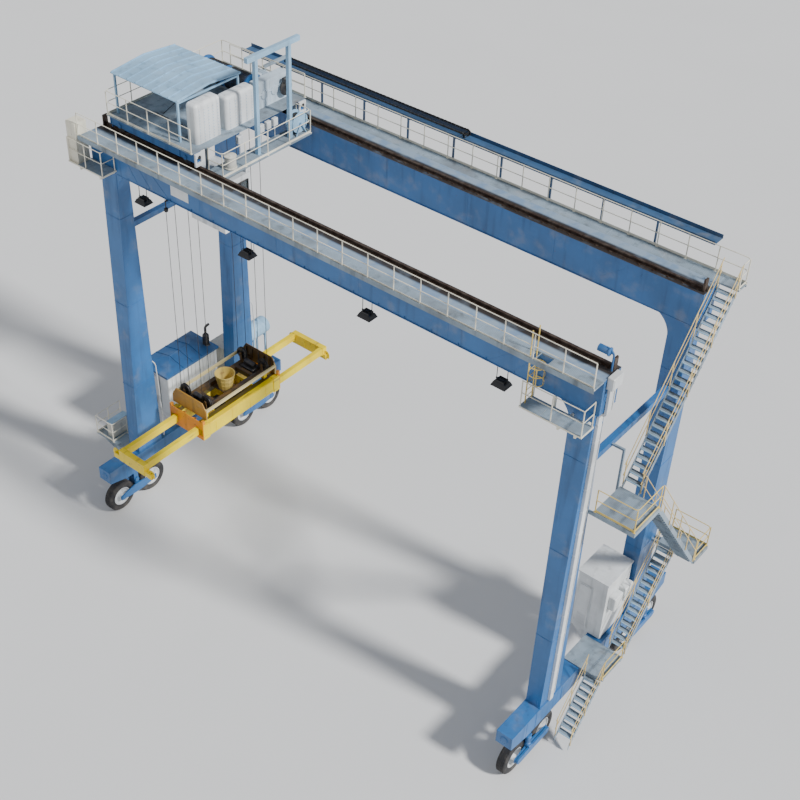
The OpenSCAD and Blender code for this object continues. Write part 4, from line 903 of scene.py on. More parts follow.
def bare_plates():
    """Bare plates with a rivet in each corner."""
    piece = Piece()
    for x, out in ((-7.27, -1), (7.2, 1)):
        plate = at(x, out * WEB_OUTER, PLATE_Z)
        piece.blocks(plate - [0.5, 0.001, 0.26], plate + [0.5, out * 0.008, 0.26], 0.003)
        spots = plate + grid3((-0.46, 0.46), out * 0.008, (-0.22, 0.22))
        piece.bolts(spots, Y * out, 0.02, 0.008)
    piece.finish("bare_plates", "white_paint")


class CRANE_OT_girders(bpy.types.Operator):
    """Rail clips, web seams, doubler plates, end covers and bare plates on the girders"""

    bl_idname = "crane.girders"
    bl_label = "Girders"

    def execute(self, context):
        bolt = context.scene.crane_sizes.bolt
        rail_clips(bolt)
        girder_seams(bolt)
        bare_plates()
        return {"FINISHED"}


def leg_half(z):
    """Half the width of a leg along X and along Y at a height: a straight taper."""
    share = (z - SILL_TOP) / (GIRDER_BOTTOM - SILL_TOP)
    return 0.34 + 0.135 * share, 0.725 - 0.405 * share


def leg_seams():
    """Weld seams round the leg where its plates meet, a flat band low on the left
    legs, and gussets at the foot."""
    piece = Piece()
    for side_x, side_y in CORNERS:
        centre = at(side_x * LEG_X, side_y * GIRDER_Y, 0)
        for z, wide in ((6.8, 0.03 if side_x < 0 else 0.008), (11.4, 0.008), (15.9, 0.008)):
            half_x, half_y = leg_half(z)
            for edge in SIDES:
                low = centre + [edge * half_x - 0.004, -half_y - 0.01, z - wide]
                high = centre + [edge * (half_x + 0.012), half_y + 0.01, z + wide]
                piece.blocks(low, high, 0.003)
                low = centre + [-half_x, edge * half_y - 0.004, z - wide]
                high = centre + [half_x, edge * (half_y + 0.012), z + wide]
                piece.blocks(low, high, 0.003)
        z = SILL_TOP + 0.06
        half_y = leg_half(z)[1]
        for x, side in grid3((-0.2, 0.2), SIDES, 0)[:, :2]:
            low = centre + [x - 0.01, side * (half_y - 0.02), z]
            piece.blocks(low, centre + [x + 0.01, side * (half_y + 0.018), z + 0.3], 0.004)
    piece.finish("leg_seams", "blue_paint")


def sill_details(bolt):
    """Stiffeners on the sills' outer faces, end covers, jacking pads and pivot covers."""
    piece = Piece()
    for side in SIDES:
        sill = X * side * LEG_X
        ribs = grid3((-0.38, 0.38), (-4.9, -4.25, -2.4, 0.9, 2.4, 4.25, 4.9), 1.93)
        piece.slabs(sill + ribs, 0.012, 0.008, 0, 0.88, 0.003)
        for end in SIDES:
            face = sill + [0, end * SILL_HALF, 2.50]
            piece.turned([(0.2, -0.005), (0.2, 0.012), (0.18, 0.016)], face, Y * end, 28)
            piece.slabs(sill + [0, end * 2.6, 1.9], 0.26, 0.26, -0.05, 0.01, 0.01)
            piece.bolts(face + around(0.155, 10, 1, end * 0.014), Y * end, bolt * 0.6)
        for out, end in CORNERS:
            pin = sill + [out * 0.229, end * BOGIE_Y, 1.248]
            piece.turned([(0.12, 0.0), (0.12, 0.025), (0.10, 0.03)], pin, X * out, 24)
    piece.finish("sill_details", "blue_paint")


def duct_clips():
    """Clips that hold the cable duct and pipes, two pipes beside them, and riser pipes
    on the left legs."""
    piece = Piece()
    zs = np.arange(3.6, 17.4, 1.1)
    low = np.stack([LEG_X - 0.01 + leg_half(zs)[0], 0 * zs - 3.50, zs], -1)
    piece.blocks(low, low + [0.142, 0.28, 0.05], 0.004)
    foot, head = (LEG_X + leg_half(z)[0] + 0.03 for z in (3.0, 17.4))
    for y in (-3.06, -2.98):
        piece.bars([foot, y - 0.04, 3.0], [head, y, 17.4], 0.035, 10)
    for side in SIDES:
        run = [(7.75, 0.0), (7.4, 0.24), (5.5, 0.26), (3.4, 0.26), (2.95, 0.2)]
        line = [(0.3 - LEG_X, side * GIRDER_Y + leg_half(z)[1] + off, z) for z, off in run]
        piece.tube(bent(line, 0.2), 0.05, 10, X)
    piece.finish("duct_clips", "white_paint")


def end_duct():
    """Cable duct with two pipes, from the leg's trunking round the near girder's
    end, a box on it, and a small motor on a bracket above."""
    leg = LEG_X + leg_half(GIRDER_BOTTOM - 0.7)[0] + 0.06
    end, y = HALF_GIRDER, -GIRDER_Y - 0.09
    turns = at((leg, y, -0.69), (leg, y, -0.14), (end + 0.07, y, -0.14), (end + 0.07, y, 1.5))
    path = bent(turns + Z * GIRDER_BOTTOM, 0.12)
    duct, arm = pieces(2)
    duct.along(path, strip(-0.05, 0.05, -0.12, 0.12), Y)
    for side in (0.2, 0.3):
        duct.tube(path + Y * side, 0.055, 12, Y)
    box = at(end + 0.004, y - 0.25, GIRDER_TOP - 0.42)
    duct.blocks(box, box + [0.26, 0.6, 0.5], 0.02)
    duct.blocks(box + [0.255, 0.04, 0.04], box + [0.275, 0.56, 0.46], 0.005)
    duct.finish("end_duct", "white_paint")
    motor = at(end - 0.28, -GIRDER_Y, GIRDER_TOP)
    arm.tube(bent(motor + at((0.16, 0.1, 0), (0.16, 0.1, 0.75), (-0.1, 0.1, 0.86)), 0.15), 0.07, 14, Y)
    arm.blocks(motor + [0.06, 0, 0], motor + [0.26, 0.2, 0.012], 0.004)
    drum = [(0.05, -0.3), (0.13, -0.28), (0.13, 0.1), (0.16, 0.12), (0.16, 0.16), (0.05, 0.2), (0.05, 0.26)]
    arm.turned(drum, motor + [-0.14, 0.1, 0.72], X, 28)
    arm.finish("end_motor", "blue_paint")


def platform_gratings():
    """Grating plates on the floors of the two platforms by the near legs."""
    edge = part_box("leg_platforms")[0][1]
    end = HALF_GIRDER
    piece = Piece()
    for start, stop, z in ((end - 2.62, end - 0.11, -0.47), (0.01 - end, 1.49 - end, 0.23)):
        floor = GIRDER_BOTTOM + z
        cuts = np.linspace(start, stop, 4)
        for low, high in zip(cuts[:-1], cuts[1:] - 0.01):
            piece.blocks([low, edge + 0.01, floor], [high, -WEB_OUTER - 0.04, floor + 0.012], 0.003)
    piece.finish("platform_gratings", "walkway_steel")


class CRANE_OT_legs(bpy.types.Operator):
    """Weld seams, covers, ducts, pipes and platform gratings on the legs and sills"""

    bl_idname = "crane.legs"
    bl_label = "Legs and sills"

    def execute(self, context):
        leg_seams()
        sill_details(context.scene.crane_sizes.bolt)
        duct_clips()
        end_duct()
        platform_gratings()
        return {"FINISHED"}


class CRANE_OT_stairs(bpy.types.Operator):
    """Tread nosings and walkway joints"""

    bl_idname = "crane.stairs"
    bl_label = "Stairs and walkways"

    def execute(self, context):
        """Treads lie at equal shares of the way from a flight's foot to its head."""
        nosings, joints = pieces(2)
        for inner, foot, head in FLIGHTS:
            steps = round((head[1] - foot[1]) / 0.25)
            share = np.arange(1, steps)[:, None] / steps
            edge = at(*foot) + (at(*head) - foot) * share
            nose = np.insert(edge, 0, inner, axis=1)
            back = math.copysign(0.03, head[0] - foot[0])
            low, high = [0.016, -back * 0.3, -0.03], [STAIR_W - 0.016, back, 0.006]
            nosings.blocks(nose + low, nose + high, 0.003)
        nosings.finish("tread_nosings", "light_blue_paint")
        for side in SIDES:
            low = grid3(along_girder(0.02, 1.2), side * (WEB_OUTER + 0.06), GIRDER_TOP)
            width = side * (WALK_EDGE - WEB_OUTER - 0.09)
            joints.blocks(low - [0.02, 0, 0.002], low + [0.02, width, 0.008], 0.002)
        joints.finish("walkway_joints", "walkway_steel")
        return {"FINISHED"}


class CRANE_OT_chain(bpy.types.Operator):
    """Links of the energy chain, and the pins across them"""

    bl_idname = "crane.chain"
    bl_label = "Energy chain"

    def execute(self, context):
        """Places along the upper run, round the half circle at its end and back along the
        lower run: the point lies a radius from the middle line, along the link's normal,
        and each link's outline is laid in the plane of its own direction and normal."""
        low, high = node_box("energy_chain")
        pitch, thick, half = 0.2, 0.045, (high[1] - low[1]) / 2
        radius = (high[2] - low[2]) / 2 - thick
        turn_x = high[0] - 0.15
        upper = np.arange(low[0] + pitch / 2, turn_x, pitch)
        lower = np.arange(turn_x - pitch / 2, 0.05, -pitch)
        x = np.concatenate([upper, np.full(3, turn_x), lower])
        lean = np.concatenate([0 * upper, np.arange(0.5, 3) / 3 * math.pi, 0 * lower + math.pi])
        run, normal = arc(-lean, 1, 1), arc(math.pi / 2 - lean, 1, 1)
        middle = Y * (low[1] + high[1]) / 2 + Z * (low[2] + thick + radius)
        centre = x[:, None] * X + middle + radius * normal
        edge = at((-0.098, -0.02), (-0.08, -0.042), (0.08, -0.042), (0.098, -0.02))
        outline = np.concatenate([edge, -edge])
        link = centre[:, None] + run[:, None] * outline[:, :1] + normal[:, None] * outline[:, 1:]
        piece = Piece()
        for side in SIDES:
            faces = [link + Y * side * out for out in (half - 0.03, half - 0.002)]
            piece.loft(np.stack(faces[::-side], 1))
        for shift, level in CORNERS:
            spot = centre + run * shift * 0.05 + normal * level * 0.036
            piece.bars(spot - Y * (half - 0.02), spot + Y * (half - 0.02), 0.012, 6)
        piece.finish("chain_links", "chain_plastic", ["energy_chain"])
        return {"FINISHED"}


# Houses, cabinets and lamps


def door(piece, low, high, axis, out, louvres=0):
    """A door leaf with a panel, louvre blades, a handle and hinges. It faces out along
    the axis of that number, and its width runs along the other one."""
    low, high, thick = at(*low), at(*high), 0.042
    normal, across = np.eye(3)[axis] * out, 1 - axis
    flat, side = 1 - Z, np.eye(3)[across]
    margin = Z * 0.06 + side * 0.05
    inner_low, inner_high = low + margin, high - margin
    piece.blocks(low, high + normal * 0.03, 0.006)
    piece.blocks(inner_low + normal * 0.03, inner_high + normal * thick, 0.004)
    if louvres:
        lift = Z * np.linspace(inner_low[2] + 0.08, inner_low[2] + 0.62, louvres)[:, None]
        blade_low = (inner_low + side * 0.06 + normal * 0.03) * flat + lift
        blade_high = (inner_high - side * 0.06 + normal * 0.05) * flat + lift + Z * 0.035
        piece.blocks(blade_low, blade_high, 0.008)
    grip = (low + high) / 2
    grip[across] = high[across] - 0.1
    grip[axis] = (high if out > 0 else low)[axis]
    bar, feet = grip + normal * thick, grip + Z * at([-0.08], [0.08])
    piece.bars(bar - Z * 0.09, bar + Z * 0.09, 0.02)
    piece.bars(feet, feet + normal * thick, 0.018, 6)
    grip[across] = low[across]
    hinges = grip * flat + normal * 0.035 + Z * at([low[2] + 0.25], [high[2] - 0.25])
    piece.bars(hinges - Z * 0.06, hinges + Z * 0.06, 0.03)


def power_house():
    """Doors and louvres, the lid, the seams and caps on it, and the exhaust pipe."""
    low, high = node_box("power_house_roof")
    x = low[0] + 0.06
    doors, seams, pipe = pieces(3)
    for y in (-0.95, 0.05, 1.05):
        door(doors, [x - 0.004, y, 3.15], [x + 0.02, y + 0.85, 5.1], 0, -1, 8)
    for y, out in ((low[1] + 0.06, -1), (high[1] - 0.06, 1)):
        door(doors, [x + 0.35, y - 0.02, 3.15], [x + 1.25, y + 0.02, 5.1], 1, out, 8)
    doors.finish("power_house_doors", "white_paint")
    hip = 1.1
    hipped_lid(low, high, hip)
    middle, eave = (low[0] + high[0]) / 2, low[2] + 0.125
    for y in spaced(low[1] + hip + 0.02, high[1] - hip - 0.02, 0.58):
        slope = [(low[0] + 0.01, y, eave), (middle, y, eave + 0.26), (high[0] - 0.01, y, eave)]
        seams.along(slope, strip(-0.012, 0.012, -0.01, 0.028))
    cap = [[-0.06, -0.03], [0.06, -0.03], [0.02, 0.015], [-0.02, 0.015]]
    ridge, ends = high[2] - 0.01, (low[1] + hip, high[1] - hip)
    seams.along([(middle, y, ridge) for y in ends], cap)
    for x in (low[0] + 0.07, high[0] - 0.07):
        for y, top in zip((low[1] + 0.06, high[1] - 0.06), ends):
            seams.along([(x, y, eave - 0.005), (middle, top, ridge - 0.005)], cap)
    seams.finish("power_house_roof_seams", "roof_paint")
    stack = at(high[0] - 0.5, 1.95, eave + 0.03)
    shell = [(0.2, 0.0), (0.2, 0.05), (0.17, 0.09), (0.17, 0.62)]
    shell += [(0.11, 0.70), (0.065, 0.72), (0.065, 0.95)]
    pipe.turned(shell, stack, Z, 28)
    pipe.tube(bent(stack + at(Z * 0.9, Z * 1.12, (0, 0.26, 1.16)), 0.12), 0.13, 16, X)
    pipe.finish("exhaust_pipe", "wheel_steel")


def hipped_lid(low, high, hip):
    """Rings along Y of a lid with hips: the flat top rises and narrows, down to
    the ridge, over the length of a hip at both ends."""
    rise = at(0.02, 0.97, 0.97, 0.02)
    ys = at(low[1], low[1] + hip, high[1] - hip, high[1])
    middle, half, eave = (low[0] + high[0]) / 2, (high[0] - low[0]) / 2, low[2] + 0.12
    top, full = half * (1 - rise), np.full(4, half)
    xs = middle + np.stack([-full, full, full, top, -top, -full], 1)
    foot, edge, peak = np.full(4, low[2]), np.full(4, eave), eave + (high[2] - eave) * rise
    zs = np.stack([foot, foot, edge, peak, peak, edge], 1)
    piece = Piece()
    piece.loft(np.stack([xs, np.repeat(ys[:, None], 6, 1), zs], -1))
    piece.finish("power_house_lid", "roof_paint", ["power_house_roof"])


def electrical_house():
    """Two rows of doors, side doors, and two cooling units with round fan guards."""
    low, high = node_box("electrical_house") + [[0.05, 0.05, 1.03], [-0.05, -0.05, -0.07]]
    piece = Piece()
    x = low[0]
    for y in np.linspace(low[1] + 0.1, high[1] - 0.65, 3):
        for foot, top, louvres in ((3.1, 5.0, 6), (5.1, 6.0, 0)):
            door(piece, [x - 0.004, y, foot], [x + 0.02, y + 0.52, top], 0, -1, louvres)
    for y, out in ((low[1], -1), (high[1], 1)):
        door(piece, [x + 0.1, y - 0.02, 3.1], [x + 0.75, y + 0.02, 5.6], 1, out, 4)
    for y in (0.85, 1.65):
        fan = at(high[0] + 0.32, y + 0.31, 4.97)
        piece.blocks(fan - [0.34, 0.31, 0.37], fan + [0, 0.31, 0.38], 0.03)
        for radius in (0.25, 0.19, 0.13, 0.07):
            piece.turned([(radius - 0.008, 0), (radius, 0.006), (radius + 0.008, 0)], fan, X, 28, True)
        for spoke in (Z * 0.25, Y * 0.25):
            piece.bars(fan + X * 0.004 - spoke, fan + X * 0.004 + spoke, 0.012, 6)
    piece.finish("electrical_house_doors", "white_paint")


def sill_cabinets():
    """Doors of the tall cabinet, and doors and a sloping lid on the low one."""
    top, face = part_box("sill_cabinets")[1][2], CABINET_FACE
    doors, lid = pieces(2)
    for y in (2.63, 3.07):
        door(doors, [face - 0.004, y, 2.95], [face + 0.02, y + 0.4, 4.95], 0, -1, 6)
    door(doors, [face + 0.15, 2.596, 2.95], [face + 0.8, 2.62, 4.95], 1, -1, 6)
    for y in (-4.1, -3.59):
        door(doors, [face - 0.02, y, 2.98], [face + 0.004, y + 0.48, 3.72], 0, 1)
    doors.blocks([face - 0.02, 2.58, top - 0.02], [face + 0.97, 3.52, top + 0.03], 0.01)
    doors.finish("cabinet_doors", "cabinet_paint")
    slope = at((-0.44, 3.745), (0.04, 3.853), (0.04, 3.878), (-0.44, 3.77)) + [face, 0]
    lid.loft([np.insert(slope, 1, y, axis=1) for y in (-4.15, -3.06)])
    lid.finish("low_cabinet_lid", "light_blue_paint")


def fuel_tank():
    """Straps round the tank, its filler and its gauge."""
    low, high = node_box("fuel_tank")
    centre = at(low[0] + 0.45, (low[1] + high[1]) / 2, high[2] - 0.45)
    piece = Piece()
    for y in (-0.42, 0.0, 0.42):
        piece.turned(strip(0.448, 0.456, -0.03, 0.03), centre + Y * y, Y, 64, True)
    filler = [(0.09, 0.0), (0.09, 0.05), (0.07, 0.055), (0.07, 0.09), (0.05, 0.1)]
    piece.turned(filler, centre + [0, 0.2, 0.44], Z, 24)
    piece.bars(centre + [0.46, -0.3, -0.25], centre + [0.46, -0.3, 0.25], 0.02)
    piece.finish("tank_straps", "light_blue_paint")


class CRANE_OT_houses(bpy.types.Operator):
    """Doors, louvres, handles and pipes of the houses, cabinets and tank"""

    bl_idname = "crane.houses"
    bl_label = "Houses and cabinets"

    def execute(self, context):
        for make in (power_house, electrical_house, sill_cabinets, fuel_tank):
            make()
        return {"FINISHED"}


class CRANE_OT_lamps(bpy.types.Operator):
    """Floodlights on hangers under the near girder, and a domed camera on a rod"""

    bl_idname = "crane.lamps"
    bl_label = "Floodlights"

    def execute(self, context):
        """A housing is a rectangle whose half sizes change from level to level."""
        glass, housing = pieces(2)
        levels = ((0.15, 0.11, 0.10), (0.24, 0.18, 0.05), (0.29, 0.23, -0.07), (0.31, 0.25, -0.11))
        rings = at(*levels)[:, None] * at((-1, -1, 1), (1, -1, 1), (1, 1, 1), (-1, 1, 1))
        for x in LAMP_X:
            lamp = at(x, LAMP_Y, GIRDER_BOTTOM - 0.70)
            housing.loft(lamp + rings)
            for side in SIDES:
                rod = lamp + X * side * 0.22
                housing.bars(rod + Z * 0.05, rod + Z * 0.70, 0.03, 10)
                housing.slabs(rod, 0.06, 0.06, 0.688, 0.70, 0.003)
            housing.slabs(lamp, 0.25, 0.025, 0.09, 0.13, 0.004)
            housing.slabs(lamp + grid3(0, np.linspace(-0.14, 0.14, 7), 0.05), 0.18, 0.006, 0, 0.09, 0.003)
            glass.slabs(lamp, 0.28, 0.22, -0.122, -0.105, 0.005)
        camera = at(-8.0, -3.9, GIRDER_BOTTOM)
        housing.turned([(0.05, 0.0), (0.05, -0.015), (0.02, -0.02), (0.02, -0.34)], camera, Z, 16)
        dome = [(0.08, -0.33), (0.09, -0.36), (0.09, -0.42), (0.075, -0.48), (0.03, -0.51)]
        housing.turned(dome, camera, Z, 24)
        housing.blocks(camera + [-0.05, 0.05, -0.03], camera + [0.05, 0.2, 0.02], 0.005)
        glass.finish("lamp_lenses", "lamp_housing", look="lens_glass")
        housing.finish("floodlight_housings", "lamp_housing", ["floodlights"])
        return {"FINISHED"}


# Trolley


def strand(path, diameter, up=Z, lay=0.24):
    """Six strands twisted together: radius r (0.93 + 0.07 cos 6(a - turn)), where turn
    grows by a full circle for each lay length along the rope."""
    path = np.asarray(path, float)
    run = np.concatenate([[0], np.cumsum(np.linalg.norm(np.diff(path, axis=0), axis=1))])
    angle = np.arange(12) * 2 * math.pi / 12
    turn = run[:, None] * 2 * math.pi / lay
    radius = diameter / 2 * (0.93 + 0.07 * np.cos(6 * (angle - turn)))
    return carry(path, np.stack([radius * np.cos(angle), radius * np.sin(angle)], -1), up)


def drum_winding(rope):
    """Rope on the drum: a helix of even pitch in each half, wound to opposite hands,
    and the lead ropes down to the slots in the deck."""
    piece = Piece("trolley")
    pitch, turns = 0.05, 21
    radius = DRUM_RADIUS + 0.008
    angle = np.linspace(0, turns * 2 * math.pi, turns * 26)
    for side in SIDES:
        helix = arc(angle, radius, 0, side * (0.12 + pitch * angle / (2 * math.pi)))
        piece.tube(DRUM + helix, rope, 8, X)
        for leave in (1, -1):
            start = DRUM + [side * 0.9, leave * radius, 0]
            end = [side * (SHEAVE_X + 0.1), leave * SHEAVE_Y, FRAME_LOW + 0.42]
            piece.tube(np.linspace(start, end, 3), rope, 8, X)
    piece.finish("drum_winding", "rope_steel", (), 60)


class CRANE_OT_ropes(bpy.types.Operator):
    """Hoist ropes: the falls, their half turns on the sheaves, and the drum's winding"""

    bl_idname = "crane.ropes"
    bl_label = "Hoist ropes"

    def execute(self, context):
        """A fall is a straight strand from sheave to sheave, on both sides of each pair of
        sheaves, and a half turn is a strand along half a circle."""
        rope = context.scene.crane_sizes.rope
        reach = SHEAVE_RADIUS + rope / 2
        falls = Piece(None)
        z = np.linspace(LOWER_SHEAVE_Z, UPPER_SHEAVE_Z, 440)
        for x, y in SHEAVES:
            for side in SIDES:
                line = np.stack([0 * z + x + side * reach, 0 * z + y, z], -1)
                falls.loft(strand(line, rope, X))
        made = falls.finish("rope_falls", "rope_steel", ["hoist_ropes"], 60)
        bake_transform(made)
        for name, body, level, start in (
            ("upper_rope_turns", "trolley", UPPER_SHEAVE_Z, 0.0),
            ("lower_rope_turns", "spreader", LOWER_SHEAVE_Z, math.pi),
        ):
            turns = Piece(body)
            half = arc(start + np.linspace(0, math.pi, 40), reach, 1)
            for x, y in SHEAVES:
                turns.loft(strand(half + [x, y, level], rope, Y))
            turns.finish(name, "rope_steel", (), 60)
        drum_winding(rope)
        return {"FINISHED"}


def hoist_machine(bolt):
    """Ribs, joint, bolts and covers on the gearbox, fins on the motor, and the brake."""
    piece, brake = pieces(2, "trolley")
    low, high = at(1.37, 1.1, DECK_Z), at(1.79, 2.9, DECK_Z + 1.15)
    for x in (low[0], high[0]):
        foot = grid3(x, np.linspace(low[1] + 0.12, high[1] - 0.12, 6), DECK_Z + 0.1)
        piece.slabs(foot, 0.012, 0.015, 0, 0.95, 0.004)
    split, axle = DECK_Z + 0.62, DECK_Z + 0.56
    rim = at(0.035, 0.035, 0)
    piece.blocks(low * (1 - Z) - rim + Z * (split - 0.02), high * (1 - Z) + rim + Z * (split + 0.02), 0.006)
    spots = grid3((low[0] - 0.018, high[0] + 0.018), np.linspace(1.15, 2.85, 10), split + 0.02)
    piece.bolts(spots, Z, bolt * 0.6)
    for y in (1.5, 2.1, 2.6):
        cover = at(high[0], y, axle)
        piece.turned([(0.2, -0.01), (0.2, 0.03), (0.15, 0.05)], cover, X)
        piece.bolts(cover + around(0.175, 8, 0, 0.03), X, bolt * 0.5)
    motor = at(0.75, 2.6, axle)
    fins = motor + arc(np.linspace(-0.15 * math.pi, 1.15 * math.pi, 26), 0.288, 0)
    piece.bars(fins - X * 0.42, fins + X * 0.42, 0.022, 6)
    piece.turned([(0.29, -0.52), (0.29, -0.46), (0.24, -0.45)], motor, X, 36)
    piece.blocks(motor + [-0.15, -0.4, 0.1], motor + [0.15, -0.26, 0.34], 0.02)
    piece.finish("hoist_machine_details", "machine_paint")
    disc = at(1.99, 2.6, axle)
    shape = [(0.06, -0.2), (0.06, -0.02), (0.34, -0.02), (0.34, 0.02), (0.1, 0.03), (0.1, 0.06)]
    brake.turned(shape, disc, X, 48)
    brake.slabs(disc, 0.09, 0.18, 0.22, 0.46, 0.03)
    for side in SIDES:
        flange = DRUM + X * side * (DRUM_LENGTH / 2 + 0.045)
        brake.bolts(flange + around(0.36, 16, 0), X * side, bolt * 0.8)
    brake.finish("brake_and_bolts", "wheel_steel")


def hood(piece, low, high, radius=0.15):
    """Rings along Y of a box with rounded upper edges: each end ring is drawn in
    by radius times one minus the sine of its angle, as far from the end as
    radius times one minus the cosine."""
    turn = np.linspace(0, math.pi / 2, 7)
    cosine, sine = np.cos(turn), np.sin(turn)
    drawn, run = radius * (1 - sine), radius * (1 - cosine)
    ys = np.concatenate([low[1] + run, (high[1] - run)[::-1]])[:, None]
    inset = np.concatenate([drawn, drawn[::-1]])[:, None]
    bend = np.maximum(radius - inset, 0.01)
    right, left, top = high[0] - inset - bend, low[0] + inset + bend, high[2] - inset - bend
    foot = np.full_like(ys, low[2])
    xs = np.concatenate([right + bend, right + bend * cosine, left - bend * sine, left - bend], 1)
    zs = np.concatenate([foot, top + bend * sine, top + bend * cosine, foot], 1)
    piece.loft(np.stack([xs, np.broadcast_to(ys, xs.shape), zs], -1))


def switch_cabinets():
    """Two hoods over the switch cabinets. A rib is a flat strip carried up one side of
    a hood, over its top and down again, with rivets on it. Doors face the drum."""
    hoods, marks, rows = pieces(3, "trolley")
    left, right, foot = 1.52, 2.12, DECK_Z + 0.02
    for start, end, height in ((-2.66, -1.28, 1.69), (-1.0, 0.64, 1.42)):
        top = DECK_Z + height
        hood(hoods, (left, start, DECK_Z), (right, end, top))
        for y in np.linspace(start + 0.2, end - 0.2, 5):
            corners = [(right, y, foot), (right, y, top), (left, y, top), (left, y, foot)]
            marks.along(bent(corners, 0.2, 10), strip(-0.005, 0.01, -0.028, 0.028), Y)
            for x, out in ((left - 0.01, -1), (right + 0.01, 1)):
                rivets = grid3(x, y, np.arange(0.1, height - 0.2, 0.13) + DECK_Z)
                rows.bolts(rivets, X * out, 0.036, 0.01)
        for y in (start + 0.22, end - 0.76):
            door(marks, [left - 0.004, y, DECK_Z + 0.12], [left + 0.02, y + 0.54, top - 0.2], 0, -1, 3)
    hoods.finish("switch_cabinet_hoods", "white_paint", ["switch_cabinets"])
    marks.finish("switch_cabinet_ribs", "white_paint")
    rows.finish("switch_cabinet_rivets", "light_blue_paint")


def roof_seams():
    """Standing seams on the two slopes, carried from eave to ridge to eave, with
    gutters and edge beams."""
    piece = Piece("trolley")
    eave, ridge, middle = DECK_Z + 1.8, DECK_Z + 1.96, -1.25
    for x in np.linspace(-2.27, 1.47, 9):
        slope = [(x, -2.99, eave), (x, middle, ridge), (x, 0.49, eave)]
        piece.along(slope, strip(-0.014, 0.014, -0.006, 0.04))
    for y in (-3.0, 0.5):
        piece.tube([(-2.3, y, eave - 0.02), (1.5, y, eave - 0.02)], 0.05, 8)
    for x in (-2.23, 1.37):
        low = at(x, -2.9, DECK_Z + 1.62)
        piece.blocks(low, low + [0.06, 3.3, 0.08], 0.006)
    piece.finish("roof_seams", "light_blue_paint")


def carriages():
    """Buffers, rail sweeps and wheel covers at the ends of the carriages, and a box at
    the end over each rail. The buffers are handed back and finished last."""
    piece, buffers, boxes = pieces(3, "trolley")
    buffer = [(0.05, 0.015), (0.085, 0.03), (0.07, 0.07), (0.085, 0.11), (0.065, 0.13)]
    for side, end in CORNERS:
        nose = at(end * 2.45, side * RAIL_Y, FRAME_LOW + 0.25)
        piece.turned([(0.09, -0.01), (0.09, 0.015), (0.07, 0.02)], nose, X * end, 24)
        buffers.turned(buffer, nose, X * end, 24)
        piece.slabs(at(end * 2.40, side * RAIL_Y, RAIL_TOP), 0.02, 0.12, 0.02, 0.18, 0.004)
        for out in SIDES:
            face = at(end * 1.9, side * RAIL_Y + out * 0.16, RAIL_TOP + 0.25)
            piece.turned([(0.1, 0.0), (0.1, 0.02), (0.07, 0.03)], face, Y * out, 24)
    piece.finish("carriage_details", "blue_paint")
    parts = (
        ((0, 0, 0), (0.1, 0.4, 0.14), 0.01),
        ((0, 0, 0.36), (0.1, 0.4, 0.56), 0.01),
        ((0, 0, 0.14), (0.08, 0.09, 0.36), 0.008),
        ((0, 0.31, 0.14), (0.08, 0.4, 0.36), 0.008),
    )
    for side in SIDES:
        place = at(2.452, side * RAIL_Y - 0.2, RAIL_TOP + 0.03)
        for low, high, edge in parts:
            boxes.blocks(place + low, place + high, edge)
    boxes.finish("carriage_end_boxes", "white_paint")
    return buffers


def side_deck():
    """Cable reel, terminal drum and small boxes on the deck at the trolley's side."""
    deck = at(2.92, 0, SIDE_DECK_Z)
    reel, wound, drum, boxes = pieces(4, "trolley")
    hub = deck + [0, 2.2, 0.52]
    half = [(0.08, -0.2), (0.45, -0.2), (0.46, -0.17), (0.3, -0.16)]
    reel.turned(half + [(r, -along) for r, along in half[::-1]], hub, X, 48)
    for side in SIDES:
        feet = hub + [[side * 0.26, -0.3, -0.52], [side * 0.26, 0.3, -0.52]]
        reel.bars(feet, hub + X * side * 0.26, 0.06, 10)
        reel.bars(hub, hub + X * side * 0.3, 0.09, 16)
    reel.finish("cable_reel", "light_blue_paint")
    turns = np.linspace(0, 9 * 2 * math.pi, 9 * 28)
    wound.tube(hub + arc(turns, 0.325, 0, 0.28 * turns / turns[-1] - 0.14), 0.034, 6, X)
    wound.finish("wound_cable", "chain_plastic")
    foot = deck + [0.05, -1.75, 0]
    shell = [(0.24, 0.0), (0.27, 0.02), (0.27, 0.06), (0.24, 0.08)]
    shell += [(0.24, 0.5), (0.26, 0.52), (0.26, 0.56), (0.1, 0.6)]
    drum.turned(shell, foot, Z, 36)
    drum.bolts(foot + around(0.255, 10, 2, 0.06), Z, 0.03)
    drum.finish("terminal_drum", "cabinet_paint")
    for y in (-0.9, 0.35, 0.75, 1.15):
        low = deck + [-0.46, y, 0.55]
        boxes.blocks(low, low + [0.16, 0.26, 0.34], 0.012)
        boxes.blocks(low + [0.155, 0.02, 0.02], low + [0.17, 0.24, 0.32], 0.004)
        boxes.bars(low + [0.08, 0.13, -0.5], low + [0.08, 0.13, 0.02], 0.03)
    boxes.finish("terminal_boxes", "white_paint")


class CRANE_OT_machinery(bpy.types.Operator):
    """Hoist details, switch cabinets, roof seams, carriage details and the side deck"""

    bl_idname = "crane.machinery"
    bl_label = "Trolley machinery"

    def execute(self, context):
        hoist_machine(context.scene.crane_sizes.bolt)
        switch_cabinets()
        roof_seams()
        buffers = carriages()
        side_deck()
        buffers.finish("trolley_buffers", "tyre_rubber")
        return {"FINISHED"}


def cushion(half_x, half_y, half_z):
    """A rounded rectangle |u|^4 + |v|^4 = 1 whose size swells in mid-height."""
    angle = np.arange(24) * 2 * math.pi / 24
    u, v = (np.sign(part) * np.abs(part) ** 0.5 for part in (np.cos(angle), np.sin(angle)))
    level = np.linspace(-1, 1, 9)[:, None]
    swell = (1 - level**4) ** 0.5 * 0.18 + 0.82
    return np.stack([half_x * u * swell, half_y * v * swell, half_z * level + 0 * u], -1)


